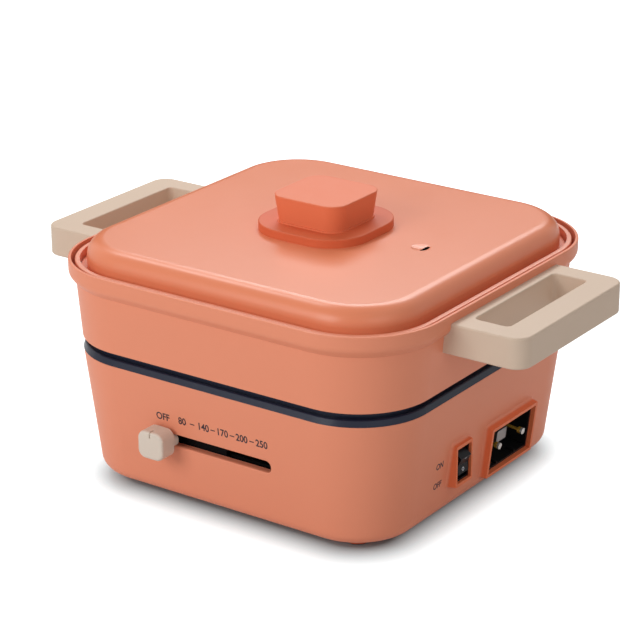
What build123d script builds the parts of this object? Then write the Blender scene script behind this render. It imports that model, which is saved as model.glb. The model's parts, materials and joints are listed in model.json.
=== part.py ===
from build123d import *
import math
import os

os.makedirs("parts", exist_ok=True)

# Frame: +X to the right, +Y to the back, +Z up, millimetres. The origin lies on the
# surface that the feet stand on, under the centre of the square body.

# ------------------------------------------------------------ driving dimensions

# Heights of the stacked parts
FOOT_HEIGHT = 6.0
HOUSING_HEIGHT = 74.8
RING_HEIGHT = 3.8
GUARD_GAP = 4.2
GUARD_HEIGHT = 46.2

# Plan of the body: rounded squares whose corners turn about the same four axes
RIM_SIDE = 240.0
RIM_RADIUS = 51.6
HOUSING_INSET = 7.2
HOUSING_DRAFT = 9.2

# Guard, the upper body with the handles
LIP_HEIGHT = 8.3
LIP_SLOPE = 4.7
LIP_OVERHANG = 4.2
LIP_ROUNDING = 5.0
GUARD_DRAFT = 2.7
GUARD_WALL = 2.4
RIM_THICKNESS = 1.7
LEDGE_THICKNESS = 2.4
THROAT_GAP = 0.6
GUARD_FOOT_WIDTH = 7.1
GUARD_FOOT_THICKNESS = 2.0
RIM_ROUNDING = 0.7

# Pot
POT_RIM_DROP = 0.9
POT_RIM_GAP = 2.2
POT_RIM_THICKNESS = 2.8
POT_LEDGE_THICKNESS = 2.0
POT_LEDGE_WIDTH = 1.3
POT_WALL = 2.3
POT_FLOOR = 2.5
POT_EDGE_ROUNDING = 6.0
POT_FLOOR_INSET = 0.5
POT_FLOOR_RISE = 11.0

# Lid
LID_RISE = 16.0
LID_SHOULDER = 9.9
LID_SHELL = 1.8
LID_FLANGE_DROP = 4.25
LID_FIT = 1.0
LID_FLANGE_WIDTH = 3.15
LID_FLANGE_THICKNESS = 1.4
LID_SKIRT = 2.95
STEAM_SLOT_LENGTH = 8.0
STEAM_SLOT_WIDTH = 3.2
STEAM_SLOT_X = 67.0
STEAM_DIMPLE_RADIUS = 18.0
STEAM_DIMPLE_DEPTH = 0.9
STEAM_DIMPLE_SHIFT = 2.5

# Lid knob and its seat
SEAT_SIDE = 69.7
SEAT_RADIUS = 24.5
SEAT_HEIGHT = 5.0
SEAT_ROUNDING = 0.7
KNOB_FOOT_SIDE = 44.3
KNOB_FOOT_RADIUS = 9.8
KNOB_TOP_SIDE = 48.2
KNOB_TOP_RADIUS = 10.4
KNOB_HEIGHT = 16.2
KNOB_ROUNDING = 0.6
KNOB_SKIRT_HEIGHT = 0.8
KNOB_SKIRT_WIDTH = 0.9
KNOB_SPIGOT_RADIUS = 7.0
KNOB_SPIGOT_HEIGHT = 3.0

# Housing, the lower body
HOUSING_WALL = 2.4
HOUSING_FLOOR = 3.0
HOUSING_ROUNDING = 8.0
HOUSING_EASE = 0.6

# Bottom cover with its feet and posts
COVER_INSET = 11.0
COVER_STEP = 5.0
COVER_THICKNESS = 1.6
COVER_RISE = 1.6
COVER_FIT = 0.4
FOOT_RADIUS = 7.8
FOOT_DRAFT = 6.0
FOOT_INSET_X = 16.1
FOOT_INSET_Y = 12.6
PAD_RADIUS = 6.2
PAD_HEIGHT = 1.4
PAD_RECESS = 0.6
POST_RADIUS = 4.5
POST_INSET_X = 12.6
POST_INSET_Y = 32.6
VENT_LENGTH = 40.0
VENT_SPREAD = 60.0
VENT_WIDTH = 2.4
VENT_PITCH = 8.0
VENT_COUNT = 6

# Heat tray with the ring that shows between the bodies
RING_DRAFT = 1.2
RING_EASE = 0.5
RING_LEDGE = 3.1
BEAD_FIT = 0.4
BEAD_THICKNESS = 1.6
BEAD_RISE = 2.4
TRAY_DRAFT = 5.0
TRAY_DEPTH = 16.8
TRAY_WALL = 2.0
TRAY_SKIRT_DEPTH = 3.0
TRAY_BOSS_RADIUS = 4.5
TRAY_BOSS_LENGTH = 6.0

# Heating element and its clips
HEATER_INSET = 33.0
HEATER_RADIUS = 3.5
HEATER_BEND = 26.0
HEATER_LEG_BEND = 5.4
HEATER_LEG_X = 12.0
HEATER_LEG_DEPTH = 12.0
HEATER_POT_GAP = 0.5
BUSH_RADIUS = 6.0
BUSH_NECK_RADIUS = 5.0
BUSH_HEAD = 1.4
BUSH_DEPTH = 4.0
TERMINAL_LENGTH = 9.0
TERMINAL_WIDTH = 5.0
TERMINAL_THICKNESS = 0.8
CLIP_WIDTH = 15.0
CLIP_THICKNESS = 2.0
CLIP_FOOT = 16.0

# Spring-loaded pot sensor in the middle of the tray
SENSOR_CAP_RADIUS = 11.0
SENSOR_CAP_HEIGHT = 2.0
SENSOR_STEM_RADIUS = 6.0
SENSOR_BORE_RADIUS = 6.05
SENSOR_STOP_RADIUS = 7.5
SENSOR_STOP_HEIGHT = 1.5
SENSOR_POT_GAP = 0.3
GUIDE_NECK_RADIUS = 8.0
GUIDE_FLANGE_RADIUS = 12.0
GUIDE_COLLAR_RADIUS = 10.0
GUIDE_FLANGE_HEIGHT = 2.0
GUIDE_LENGTH = 8.0
SPRING_RADIUS = 9.0
SPRING_WIRE_RADIUS = 0.5
SPRING_TURNS = 3

# Temperature slider: knob, carriage with rack, and the guide behind the wall
SLOT_DROP = 36.9
SLOT_WIDTH = 7.4
SLOT_CORNER = 3.0
SLOT_EASE = 0.8
SLIDER_OFF_X = -34.6
SLIDER_TRAVEL = 64.0
SLIDE_KNOB_WIDTH = 17.5
SLIDE_KNOB_HEIGHT = 16.6
SLIDE_KNOB_DEPTH = 11.0
SLIDE_KNOB_REACH = 22.0
SLIDE_KNOB_CORNER = 5.0
SLIDE_KNOB_ROUNDING = 1.6
NECK_WIDTH = 16.0
NECK_HEIGHT = 6.6
STEM_WIDTH = 10.0
STEM_HEIGHT = 4.0
STEM_GRIP = 6.0
POINTER_WIDTH = 0.9
POINTER_DEPTH = 0.6
POINTER_LENGTH = 7.0
POINTER_TOP_LENGTH = 4.0
CARRIAGE_INSET = 2.6
PLATE_THICKNESS = 3.0
PLATE_HEIGHT = 14.0
WINDOW_HEIGHT = 9.0
GUIDE_RIM = 2.3
GUIDE_HEIGHT = 27.0
GUIDE_FRONT_DEPTH = 1.6
LUG_OFFSET_X = 58.0
LUG_OFFSET_Z = 10.2
LUG_RADIUS = 3.2
LUG_BITE = 3.0
RIB_OFFSET = 5.3
RIB_THICKNESS = 1.4
RIB_LENGTH = 130.0

# Gear pair between the slider and the thermostat
PINION_RADIUS = 14.0
PINION_TEETH = 28
PRESSURE_ANGLE = 20.0
DEDENDUM = 1.25
GEAR_BACKLASH = 0.3
RACK_SPARE_TEETH = 2
RACK_HEIGHT = 6.0
PINION_HEIGHT = 7.0
PINION_HUB_RADIUS = 6.0
PINION_HUB_HEIGHT = 3.0
SPOKE_HOLE_RADIUS = 2.4
SPOKE_HOLES = 6

# Thermostat under the tray
SHAFT_RADIUS = 3.0
SHAFT_FLAT = 0.6
SHAFT_CLEARANCE = 0.05
THERMOSTAT_WIDTH = 30.0
THERMOSTAT_DEPTH = 17.0
THERMOSTAT_HEIGHT = 8.0
BRACKET_LENGTH = 46.0
BRACKET_THICKNESS = 1.6
BLADE_LENGTH = 8.0
BLADE_WIDTH = 4.8
BLADE_THICKNESS = 0.8

# Rocker switch in the right wall
SWITCH_Y = -26.3
SWITCH_RISE = 29.6
SWITCH_PROUD = 4.8
SWITCH_FRAME_WIDTH = 17.2
SWITCH_FRAME_HEIGHT = 24.8
SWITCH_OPENING_WIDTH = 14.5
SWITCH_OPENING_HEIGHT = 21.0
SWITCH_RECESS = 1.8
SWITCH_DEPTH = 17.0
SWITCH_FLANGE_INSET = 0.6
SWITCH_FLANGE = 1.8
SWITCH_FLANGE_THICKNESS = 1.6
FRAME_DRAFT = 8.0
FRAME_CORNER = 0.8
FRAME_ROOT = 1.8
ROCKER_WIDTH = 10.4
ROCKER_HEIGHT = 16.6
ROCKER_FACE_HEIGHT = 10.4
ROCKER_FACE = 5.5
ROCKER_VALLEY = 4.2
ROCKER_BACK = 2.0
ROCKER_TILT = 10.0
ROCKER_PIVOT_DEPTH = 3.5
ROCKER_POCKET_WIDTH = 11.2
ROCKER_POCKET_HEIGHT = 18.4
ROCKER_POCKET_DEPTH = 8.0
TRUNNION_RADIUS = 1.2
TRUNNION_REACH = 1.0
TRUNNION_CLEARANCE = 0.06

# Power inlet in the right wall
INLET_Y = 27.9
INLET_RISE = 24.1
INLET_PROUD = 4.6
INLET_BORDER = 1.9
INLET_OPENING_WIDTH = 46.8
INLET_OPENING_HEIGHT = 27.8
INLET_SETBACK = 2.8
INLET_SHELL = 1.2
INLET_RECESS = 15.0
INLET_BACK = 3.0
INLET_FLANGE = 2.0
INLET_EAR_REACH = 4.0
INLET_EAR_RADIUS = 3.6
INLET_SCREW_BITE = 1.8
PIN_SPREAD = 26.0
PIN_RISE = 0.6
PIN_SHAFT_RADIUS = 0.9
PIN_TIP_RADIUS = 1.9
PIN_TIP_LENGTH = 3.0
PIN_LENGTH = 14.4
PIN_TAIL = 8.0
KEEPER_WIDTH = 10.4
KEEPER_HEIGHT = 7.2
KEEPER_THICKNESS = 1.6
KEEPER_BLOCK = 6.0
INLET_RIB_SPREAD = 20.0
INLET_RIB_WIDTH = 1.0
INLET_RIB_HEIGHT = 1.2
INLET_RIB_LENGTH = 5.0

# Handles
HANDLE_BAR = 17.0
HANDLE_ARM = 14.0
HANDLE_OVERLAP = 12.0
HANDLE_DROP = 4.5
HANDLE_THICKNESS = 18.0
HANDLE_CORNER = 10.0
HANDLE_ROUNDING = 1.2
GRIP_GAP = 6.0
GRIP_WIDTH = 21.5
GRIP_LENGTH = 86.0
GRIP_CORNER = 3.0
GRIP_ROUNDING = 0.8
HANDLE_SCREW_Y = 36.0
HANDLE_SCREW_DROP = 17.0
HANDLE_SCREW_LENGTH = 12.0
SCREW_SPOT_DEPTH = 0.4

# Thermal fuse under the tray
FUSE_RADIUS = 2.0
FUSE_LENGTH = 11.0
FUSE_CLIP_WIDTH = 6.0
FUSE_CLIP_FOOT = 7.5
FUSE_X = 34.0
FUSE_Y = 20.0

# Fasteners and clearances
SCREW_RADIUS = 1.5
SCREW_HEAD_RADIUS = 3.0
SCREW_HEAD_HEIGHT = 1.8
KNOB_SCREW_RADIUS = 2.5
KNOB_SCREW_HEAD_RADIUS = 4.6
KNOB_SCREW_HEAD_HEIGHT = 3.0
KNOB_SCREW_GRIP = 9.0
RIVET_RADIUS = 1.25
RIVET_HEAD_RADIUS = 2.3
RIVET_HEAD_HEIGHT = 0.8
WASHER_RADIUS = 7.0
WASHER_THICKNESS = 1.0
HOLE_CLEARANCE = 0.15
SEAT_GAP = 0.2
SLIDE_GAP = 0.3
EDGE_EASE = 0.5

# ------------------------------------------------------------ derived levels

CORNER_AXIS = RIM_SIDE / 2 - RIM_RADIUS
RIM_HALF = RIM_SIDE / 2

HOUSING_TOP = FOOT_HEIGHT + HOUSING_HEIGHT
RING_TOP = HOUSING_TOP + RING_HEIGHT
GUARD_BOTTOM = RING_TOP + GUARD_GAP
RIM_TOP = GUARD_BOTTOM + GUARD_HEIGHT
LIP_BOTTOM = RIM_TOP - LIP_HEIGHT
WALL_TOP = LIP_BOTTOM - LIP_SLOPE
WALL_TOP_HALF = RIM_HALF - LIP_OVERHANG
WALL_FOOT_HALF = WALL_TOP_HALF - GUARD_DRAFT

HOUSING_TOP_HALF = RIM_HALF - HOUSING_INSET
HOUSING_FLOOR_HALF = HOUSING_TOP_HALF - HOUSING_DRAFT
COVER_HALF = HOUSING_FLOOR_HALF - COVER_INSET
FOOT_X = COVER_HALF - FOOT_INSET_X
FOOT_Y = COVER_HALF - FOOT_INSET_Y
POST_X = COVER_HALF - POST_INSET_X
POST_Y = COVER_HALF - POST_INSET_Y

RING_TOP_HALF = HOUSING_TOP_HALF - RING_DRAFT
COLLAR_HALF = RING_TOP_HALF - RING_LEDGE
BEAD_HALF = WALL_FOOT_HALF - GUARD_FOOT_WIDTH - BEAD_FIT
TRAY_MOUTH_HALF = BEAD_HALF - BEAD_THICKNESS
TRAY_FLOOR_HALF = TRAY_MOUTH_HALF - TRAY_DRAFT
TRAY_FLOOR_HEIGHT = HOUSING_TOP - TRAY_DEPTH
HEATER_HALF = TRAY_FLOOR_HALF - HEATER_INSET

POT_TOP = RIM_TOP - POT_RIM_DROP
POT_RIM_HALF = RIM_HALF - RIM_THICKNESS - POT_RIM_GAP
POT_SEAT_HALF = POT_RIM_HALF - POT_RIM_THICKNESS
POT_NECK = POT_SEAT_HALF - POT_LEDGE_WIDTH
POT_FLOOR_HALF = TRAY_FLOOR_HALF - POT_FLOOR_INSET
POT_FLOOR_HEIGHT = TRAY_FLOOR_HEIGHT + POT_FLOOR_RISE
LID_FLANGE_TOP = POT_TOP - LID_FLANGE_DROP
LID_FLANGE_BOTTOM = LID_FLANGE_TOP - LID_FLANGE_THICKNESS
LID_TOP = LID_FLANGE_TOP + LID_RISE
LID_FLANGE_HALF = POT_SEAT_HALF - LID_FIT
LID_HALF = LID_FLANGE_HALF - LID_FLANGE_WIDTH
POT_LEDGE_TOP = LID_FLANGE_BOTTOM - SEAT_GAP
POT_LEDGE_BOTTOM = POT_LEDGE_TOP - POT_LEDGE_THICKNESS
GUARD_LEDGE_TOP = POT_LEDGE_BOTTOM - SEAT_GAP
GUARD_THROAT_HALF = POT_NECK + THROAT_GAP

SEAT_TOP = LID_TOP + SEAT_HEIGHT
KNOB_TOP = SEAT_TOP + KNOB_HEIGHT

TRAY_MOUTH_TOP = GUARD_BOTTOM + BEAD_RISE
TRAY_FLOOR_BOTTOM = TRAY_FLOOR_HEIGHT - TRAY_WALL
HEATER_LEVEL = POT_FLOOR_HEIGHT - HEATER_POT_GAP - HEATER_RADIUS
COVER_TOP = FOOT_HEIGHT + COVER_THICKNESS + COVER_RISE
PAD_BOTTOM = 0.0

SLOT_Z = HOUSING_TOP - SLOT_DROP
SLIDER_MIDDLE_X = SLIDER_OFF_X + SLIDER_TRAVEL / 2
NECK_GAP = (SLOT_WIDTH - NECK_HEIGHT) / 2
SLOT_LENGTH = SLIDER_TRAVEL + NECK_WIDTH + 2 * NECK_GAP
PLATE_FRONT = HOUSING_FLOOR_HALF - CARRIAGE_INSET
SLIDE_KNOB_FRONT = PLATE_FRONT + SLIDE_KNOB_REACH
WALL_TILT = math.atan((HOUSING_TOP_HALF - HOUSING_FLOOR_HALF) / HOUSING_HEIGHT)
WALL_NORMAL_THICKNESS = HOUSING_WALL * math.cos(WALL_TILT)

GEAR_MODULE = 2 * PINION_RADIUS / PINION_TEETH
TOOTH_PITCH = math.pi * GEAR_MODULE
RACK_TEETH = math.ceil(SLIDER_TRAVEL / TOOTH_PITCH) + RACK_SPARE_TEETH
PLATE_BACK = PLATE_FRONT - PLATE_THICKNESS
RACK_LINE = PLATE_BACK - 4 * GEAR_MODULE
PINION_Y = -(RACK_LINE - PINION_RADIUS)
RACK_LENGTH = RACK_TEETH * TOOTH_PITCH
GUIDE_BACK = PLATE_BACK - SLIDE_GAP
POCKET_LENGTH = RACK_LENGTH + 2 * GEAR_MODULE + SLIDER_TRAVEL + 2 * SLIDE_GAP

SWITCH_Z = FOOT_HEIGHT + SWITCH_RISE
SWITCH_FLANGE_X = HOUSING_FLOOR_HALF - SWITCH_FLANGE_INSET
INLET_Z = FOOT_HEIGHT + INLET_RISE
INLET_FRAME_WIDTH = INLET_OPENING_WIDTH + 2 * INLET_BORDER
INLET_FRAME_HEIGHT = INLET_OPENING_HEIGHT + 2 * INLET_BORDER
INLET_EAR = INLET_OPENING_WIDTH / 2 + INLET_EAR_REACH

GRIP_INNER = RIM_HALF + GRIP_GAP
GRIP_OUTER = GRIP_INNER + GRIP_WIDTH
HANDLE_REACH = GRIP_OUTER + HANDLE_BAR
HANDLE_ROOT = RIM_HALF - HANDLE_OVERLAP
HANDLE_LENGTH = GRIP_LENGTH + 2 * HANDLE_ARM
HANDLE_SCREW_Z = RIM_TOP - HANDLE_SCREW_DROP


def housing_half(height):
    """Half width of the housing's drafted wall at a height."""
    slope = (HOUSING_TOP_HALF - HOUSING_FLOOR_HALF) / HOUSING_HEIGHT
    return HOUSING_FLOOR_HALF + (height - FOOT_HEIGHT) * slope


def guard_half(height):
    """Half width of the guard's outer wall at a height below the lip."""
    slope = GUARD_DRAFT / (WALL_TOP - GUARD_BOTTOM)
    return WALL_FOOT_HALF + (height - GUARD_BOTTOM) * slope


def pot_half(height):
    """Half width of the pot's outer wall at a height below its ledge."""
    slope = (POT_NECK - POT_FLOOR_HALF) / (POT_LEDGE_BOTTOM - POT_FLOOR_HEIGHT)
    return POT_FLOOR_HALF + (height - POT_FLOOR_HEIGHT) * slope


def tray_half(height):
    """Half width of the tray's cavity at a height."""
    slope = (TRAY_MOUTH_HALF - TRAY_FLOOR_HALF) / (TRAY_MOUTH_TOP - TRAY_FLOOR_HEIGHT)
    return TRAY_FLOOR_HALF + (height - TRAY_FLOOR_HEIGHT) * slope


SWITCH_FACE_X = housing_half(SWITCH_Z) + SWITCH_PROUD

# ------------------------------------------------------------ shared shapes

def body_square(height, half):
    """A rounded square of the body's plan, lying at a height."""
    with BuildSketch(Plane.XY.offset(height)) as outline:
        RectangleRounded(2 * half, 2 * half, half - CORNER_AXIS)
    return outline.sketch


def band(low, low_half, high, high_half, mode=Mode.ADD):
    """A slice of the body between two heights, straight or drafted."""
    loft([body_square(low, low_half), body_square(high, high_half)], ruled=True, mode=mode)


def wall_plane(outward, along, height):
    """A plane on the housing's drafted wall, with +Y of the sketch up the wall."""
    side = housing_half(height)
    facing = Vector(*outward)
    across = Vector(-facing.Y, facing.X, 0)
    origin = facing * side + across * along + Vector(0, 0, height)
    normal = facing * math.cos(WALL_TILT) - Vector(0, 0, math.sin(WALL_TILT))
    return Plane(origin=origin, x_dir=across, z_dir=normal)


def lies_on(edge, wall):
    """True for an edge that lies in a wall's plane from end to end."""
    return all(abs(wall.to_local_coords(edge @ spot).Z) < SEAT_GAP / 10 for spot in (0, 0.5, 1))


def pan_screw(radius, head_radius, head_height, length):
    """A pan-head screw with a cross slot, head up, seated at z = 0."""
    with BuildPart() as fastener:
        Cylinder(head_radius, head_height, align=(Align.CENTER, Align.CENTER, Align.MIN))
        fillet(fastener.edges().filter_by(GeomType.CIRCLE).sort_by(Axis.Z)[-1], head_height / 3)
        Cylinder(radius, length, align=(Align.CENTER, Align.CENTER, Align.MAX))
        with BuildSketch(Plane.XY.offset(head_height)):
            Rectangle(head_radius * 1.1, radius / 2)
            Rectangle(radius / 2, head_radius * 1.1)
        extrude(amount=-head_height / 2, mode=Mode.SUBTRACT)
    return fastener.part


def rivet(grip):
    """A rivet through plates from z = 0 to z = grip, with a domed head on each side."""
    with BuildPart() as fastener:
        Cylinder(RIVET_RADIUS, grip, align=(Align.CENTER, Align.CENTER, Align.MIN))
        with Locations((0, 0, grip)):
            Cylinder(RIVET_HEAD_RADIUS, RIVET_HEAD_HEIGHT,
                     align=(Align.CENTER, Align.CENTER, Align.MIN))
        Cylinder(RIVET_HEAD_RADIUS, RIVET_HEAD_HEIGHT,
                 align=(Align.CENTER, Align.CENTER, Align.MAX))
        rims = fastener.edges().filter_by(GeomType.CIRCLE).group_by(Axis.Z)
        chamfer(rims[0] + rims[-1], RIVET_HEAD_HEIGHT / 2)
    return fastener.part


def outline_of(points):
    """A flat face inside a closed chain of points."""
    with BuildSketch() as face:
        with BuildLine():
            Polyline(*points, close=True)
        make_face()
    return face.sketch


def involute_tooth(teeth, module, backlash):
    """Outline points of one gear tooth, centred on +X, from root to root."""
    pitch_radius = module * teeth / 2
    base_radius = pitch_radius * math.cos(math.radians(PRESSURE_ANGLE))
    tip_radius = pitch_radius + module
    root_radius = pitch_radius - DEDENDUM * module

    def roll(radius):
        """Involute function at a radius."""
        angle = math.acos(min(1.0, base_radius / radius))
        return math.tan(angle) - angle

    half_pitch_angle = (math.pi * module / 2 - backlash / 2) / pitch_radius / 2
    steps = 4
    start = max(base_radius, root_radius)
    flank = []
    for step in range(steps + 1):
        radius = start + (tip_radius - start) * step / steps
        turn = half_pitch_angle + roll(pitch_radius) - roll(radius)
        flank.append((radius * math.cos(turn), radius * math.sin(turn)))
    foot_turn = math.atan2(flank[0][1], flank[0][0])
    foot = (root_radius * 0.98 * math.cos(foot_turn), root_radius * 0.98 * math.sin(foot_turn))
    upper = [foot] + flank
    lower = [(x, -y) for x, y in reversed(upper)]
    return upper + lower


# ------------------------------------------------------------ guard

def guard_outside():
    """The guard's outer shape as a full solid, which the handles are cut back to."""
    with BuildPart() as outside:
        band(GUARD_BOTTOM, WALL_FOOT_HALF, WALL_TOP, WALL_TOP_HALF)
        band(WALL_TOP, WALL_TOP_HALF, LIP_BOTTOM, RIM_HALF)
        band(LIP_BOTTOM, RIM_HALF, RIM_TOP, RIM_HALF)
        level_rings = outside.edges().filter_by(Plane.XY).group_by(Axis.Z)
        fillet(level_rings[-2], LIP_ROUNDING)
    return outside.part


HANDLE_SCREW_PLANES = [
    Plane(origin=(side * (guard_half(HANDLE_SCREW_Z) - GUARD_WALL + SCREW_SPOT_DEPTH), y,
                  HANDLE_SCREW_Z), x_dir=(0, 1, 0), z_dir=(-side, 0, 0))
    for side in (-1, 1) for y in (-HANDLE_SCREW_Y, HANDLE_SCREW_Y)
]

with BuildPart() as guard_shell:
    add(guard_outside())
    fillet(guard_shell.edges().group_by(Axis.Z)[-1], RIM_ROUNDING)
    band(GUARD_LEDGE_TOP, RIM_HALF - RIM_THICKNESS, RIM_TOP, RIM_HALF - RIM_THICKNESS,
         mode=Mode.SUBTRACT)
    band(GUARD_LEDGE_TOP - LEDGE_THICKNESS, GUARD_THROAT_HALF, GUARD_LEDGE_TOP,
         GUARD_THROAT_HALF, mode=Mode.SUBTRACT)
    band(GUARD_BOTTOM + GUARD_FOOT_THICKNESS, WALL_FOOT_HALF - GUARD_WALL,
         GUARD_LEDGE_TOP - LEDGE_THICKNESS, WALL_TOP_HALF - GUARD_WALL, mode=Mode.SUBTRACT)
    band(GUARD_BOTTOM, WALL_FOOT_HALF - GUARD_FOOT_WIDTH, GUARD_BOTTOM + GUARD_FOOT_THICKNESS,
         WALL_FOOT_HALF - GUARD_FOOT_WIDTH, mode=Mode.SUBTRACT)
    for screw_plane in HANDLE_SCREW_PLANES:
        with BuildSketch(screw_plane):
            Circle(SCREW_HEAD_RADIUS + HOLE_CLEARANCE)
        extrude(amount=2 * SCREW_SPOT_DEPTH, mode=Mode.SUBTRACT)
        with BuildSketch(screw_plane):
            Circle(SCREW_RADIUS + HOLE_CLEARANCE)
        extrude(amount=-2 * GUARD_WALL, mode=Mode.SUBTRACT)
guard_shell.part.label = "guard_shell"
export_step(guard_shell.part, "parts/guard_shell.step")


def handle(side):
    """One loop handle, standing out on the side -1 (left) or 1 (right)."""
    top = RIM_TOP - HANDLE_DROP
    with BuildPart() as loop:
        with BuildSketch(Plane.XY.offset(top)) as outline:
            with Locations((side * (HANDLE_ROOT + HANDLE_REACH) / 2, 0)):
                Rectangle(HANDLE_REACH - HANDLE_ROOT, HANDLE_LENGTH)
            ends = outline.vertices().sort_by(Axis.X)
            fillet(ends[2:] if side > 0 else ends[:2], HANDLE_CORNER)
        extrude(amount=-HANDLE_THICKNESS)
        level = loop.edges().filter_by(Plane.XY)
        root = side * HANDLE_ROOT
        free = [edge for edge in level if abs(edge.center().X - root) > HANDLE_ROUNDING]
        fillet(free, HANDLE_ROUNDING)
        with BuildSketch(Plane.XY.offset(top)):
            with Locations((side * (GRIP_INNER + GRIP_OUTER) / 2, 0)):
                RectangleRounded(GRIP_WIDTH, GRIP_LENGTH, GRIP_CORNER)
        extrude(amount=-HANDLE_THICKNESS, mode=Mode.SUBTRACT)
        mouth = [edge for edge in loop.edges().filter_by(Plane.XY)
                 if abs(abs(edge.center().X) - (GRIP_INNER + GRIP_OUTER) / 2) <= GRIP_WIDTH / 2
                 and abs(edge.center().Y) <= GRIP_LENGTH / 2]
        fillet(mouth, GRIP_ROUNDING)
        add(guard_outside(), mode=Mode.SUBTRACT)
        for screw_plane in HANDLE_SCREW_PLANES:
            with BuildSketch(screw_plane):
                Circle(SCREW_RADIUS + HOLE_CLEARANCE)
            extrude(amount=-HANDLE_SCREW_LENGTH - HOLE_CLEARANCE, mode=Mode.SUBTRACT)
    return loop.part


with BuildPart() as left_handle:
    add(handle(-1))
left_handle.part.label = "left_handle"
export_step(left_handle.part, "parts/left_handle.step")

with BuildPart() as right_handle:
    add(handle(1))
right_handle.part.label = "right_handle"
export_step(right_handle.part, "parts/right_handle.step")

with BuildPart() as handle_screws:
    with Locations(*[Location(plane) for plane in HANDLE_SCREW_PLANES]):
        add(pan_screw(SCREW_RADIUS, SCREW_HEAD_RADIUS, SCREW_HEAD_HEIGHT, HANDLE_SCREW_LENGTH))
handle_screws.part.label = "handle_screws"
export_step(handle_screws.part, "parts/handle_screws.step")

# ------------------------------------------------------------ pot

def pot_bowl():
    """The space inside the pot, below its rim."""
    floor_top = POT_FLOOR_HEIGHT + POT_FLOOR
    with BuildPart() as bowl:
        band(floor_top, pot_half(floor_top) - POT_WALL,
             POT_LEDGE_TOP, pot_half(POT_LEDGE_TOP) - POT_WALL)
        fillet(bowl.edges().group_by(Axis.Z)[0], POT_EDGE_ROUNDING - POT_WALL)
    return bowl.part


with BuildPart() as pot:
    band(POT_FLOOR_HEIGHT, POT_FLOOR_HALF, POT_LEDGE_BOTTOM, POT_NECK)
    fillet(pot.edges().group_by(Axis.Z)[0], POT_EDGE_ROUNDING)
    band(POT_LEDGE_BOTTOM, POT_RIM_HALF, POT_TOP, POT_RIM_HALF)
    fillet(pot.edges().group_by(Axis.Z)[-1], RIM_ROUNDING)
    band(POT_LEDGE_TOP, POT_SEAT_HALF, POT_TOP, POT_SEAT_HALF, mode=Mode.SUBTRACT)
    add(pot_bowl(), mode=Mode.SUBTRACT)
pot.part.label = "pot"
export_step(pot.part, "parts/pot.step")

# ------------------------------------------------------------ lid and its knob

def lid_hollow():
    """The space under the lid's dome."""
    with BuildPart() as hollow:
        band(LID_FLANGE_BOTTOM - LID_SKIRT, LID_HALF - LID_SHELL,
             LID_TOP - LID_SHELL, LID_HALF - LID_SHELL)
        fillet(hollow.edges().group_by(Axis.Z)[-1], LID_SHOULDER - LID_SHELL)
    return hollow.part


with BuildPart() as lid_shell:
    band(LID_FLANGE_BOTTOM - LID_SKIRT, LID_HALF, LID_TOP, LID_HALF)
    fillet(lid_shell.edges().group_by(Axis.Z)[-1], LID_SHOULDER)
    band(LID_FLANGE_BOTTOM, LID_FLANGE_HALF, LID_FLANGE_TOP, LID_FLANGE_HALF)
    add(lid_hollow(), mode=Mode.SUBTRACT)
    with BuildSketch(Plane.XY.offset(LID_TOP)):
        Circle(KNOB_SCREW_RADIUS + HOLE_CLEARANCE)
        with Locations((STEAM_SLOT_X, 0)):
            SlotOverall(STEAM_SLOT_LENGTH, STEAM_SLOT_WIDTH, rotation=90)
    extrude(amount=-2 * LID_SHELL, mode=Mode.SUBTRACT)
    # Shallow dimple that the steam slot opens from
    dimple_height = LID_TOP + STEAM_DIMPLE_RADIUS - STEAM_DIMPLE_DEPTH
    with Locations((STEAM_SLOT_X - STEAM_DIMPLE_SHIFT, 0, dimple_height)):
        Sphere(STEAM_DIMPLE_RADIUS, mode=Mode.SUBTRACT)
lid_shell.part.label = "lid_shell"
export_step(lid_shell.part, "parts/lid_shell.step")

with BuildPart() as lid_knob_seat:
    with BuildSketch(Plane.XY.offset(LID_TOP)):
        RectangleRounded(SEAT_SIDE, SEAT_SIDE, SEAT_RADIUS)
    extrude(amount=SEAT_HEIGHT)
    fillet(lid_knob_seat.edges().group_by(Axis.Z)[-1], SEAT_ROUNDING)
    with BuildSketch(Plane.XY.offset(SEAT_TOP)):
        Circle(KNOB_SPIGOT_RADIUS + HOLE_CLEARANCE)
    extrude(amount=-KNOB_SPIGOT_HEIGHT - HOLE_CLEARANCE, mode=Mode.SUBTRACT)
    with BuildSketch(Plane.XY.offset(LID_TOP)):
        Circle(KNOB_SCREW_RADIUS + HOLE_CLEARANCE)
    extrude(amount=SEAT_HEIGHT, mode=Mode.SUBTRACT)
lid_knob_seat.part.label = "lid_knob_seat"
export_step(lid_knob_seat.part, "parts/lid_knob_seat.step")

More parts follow.
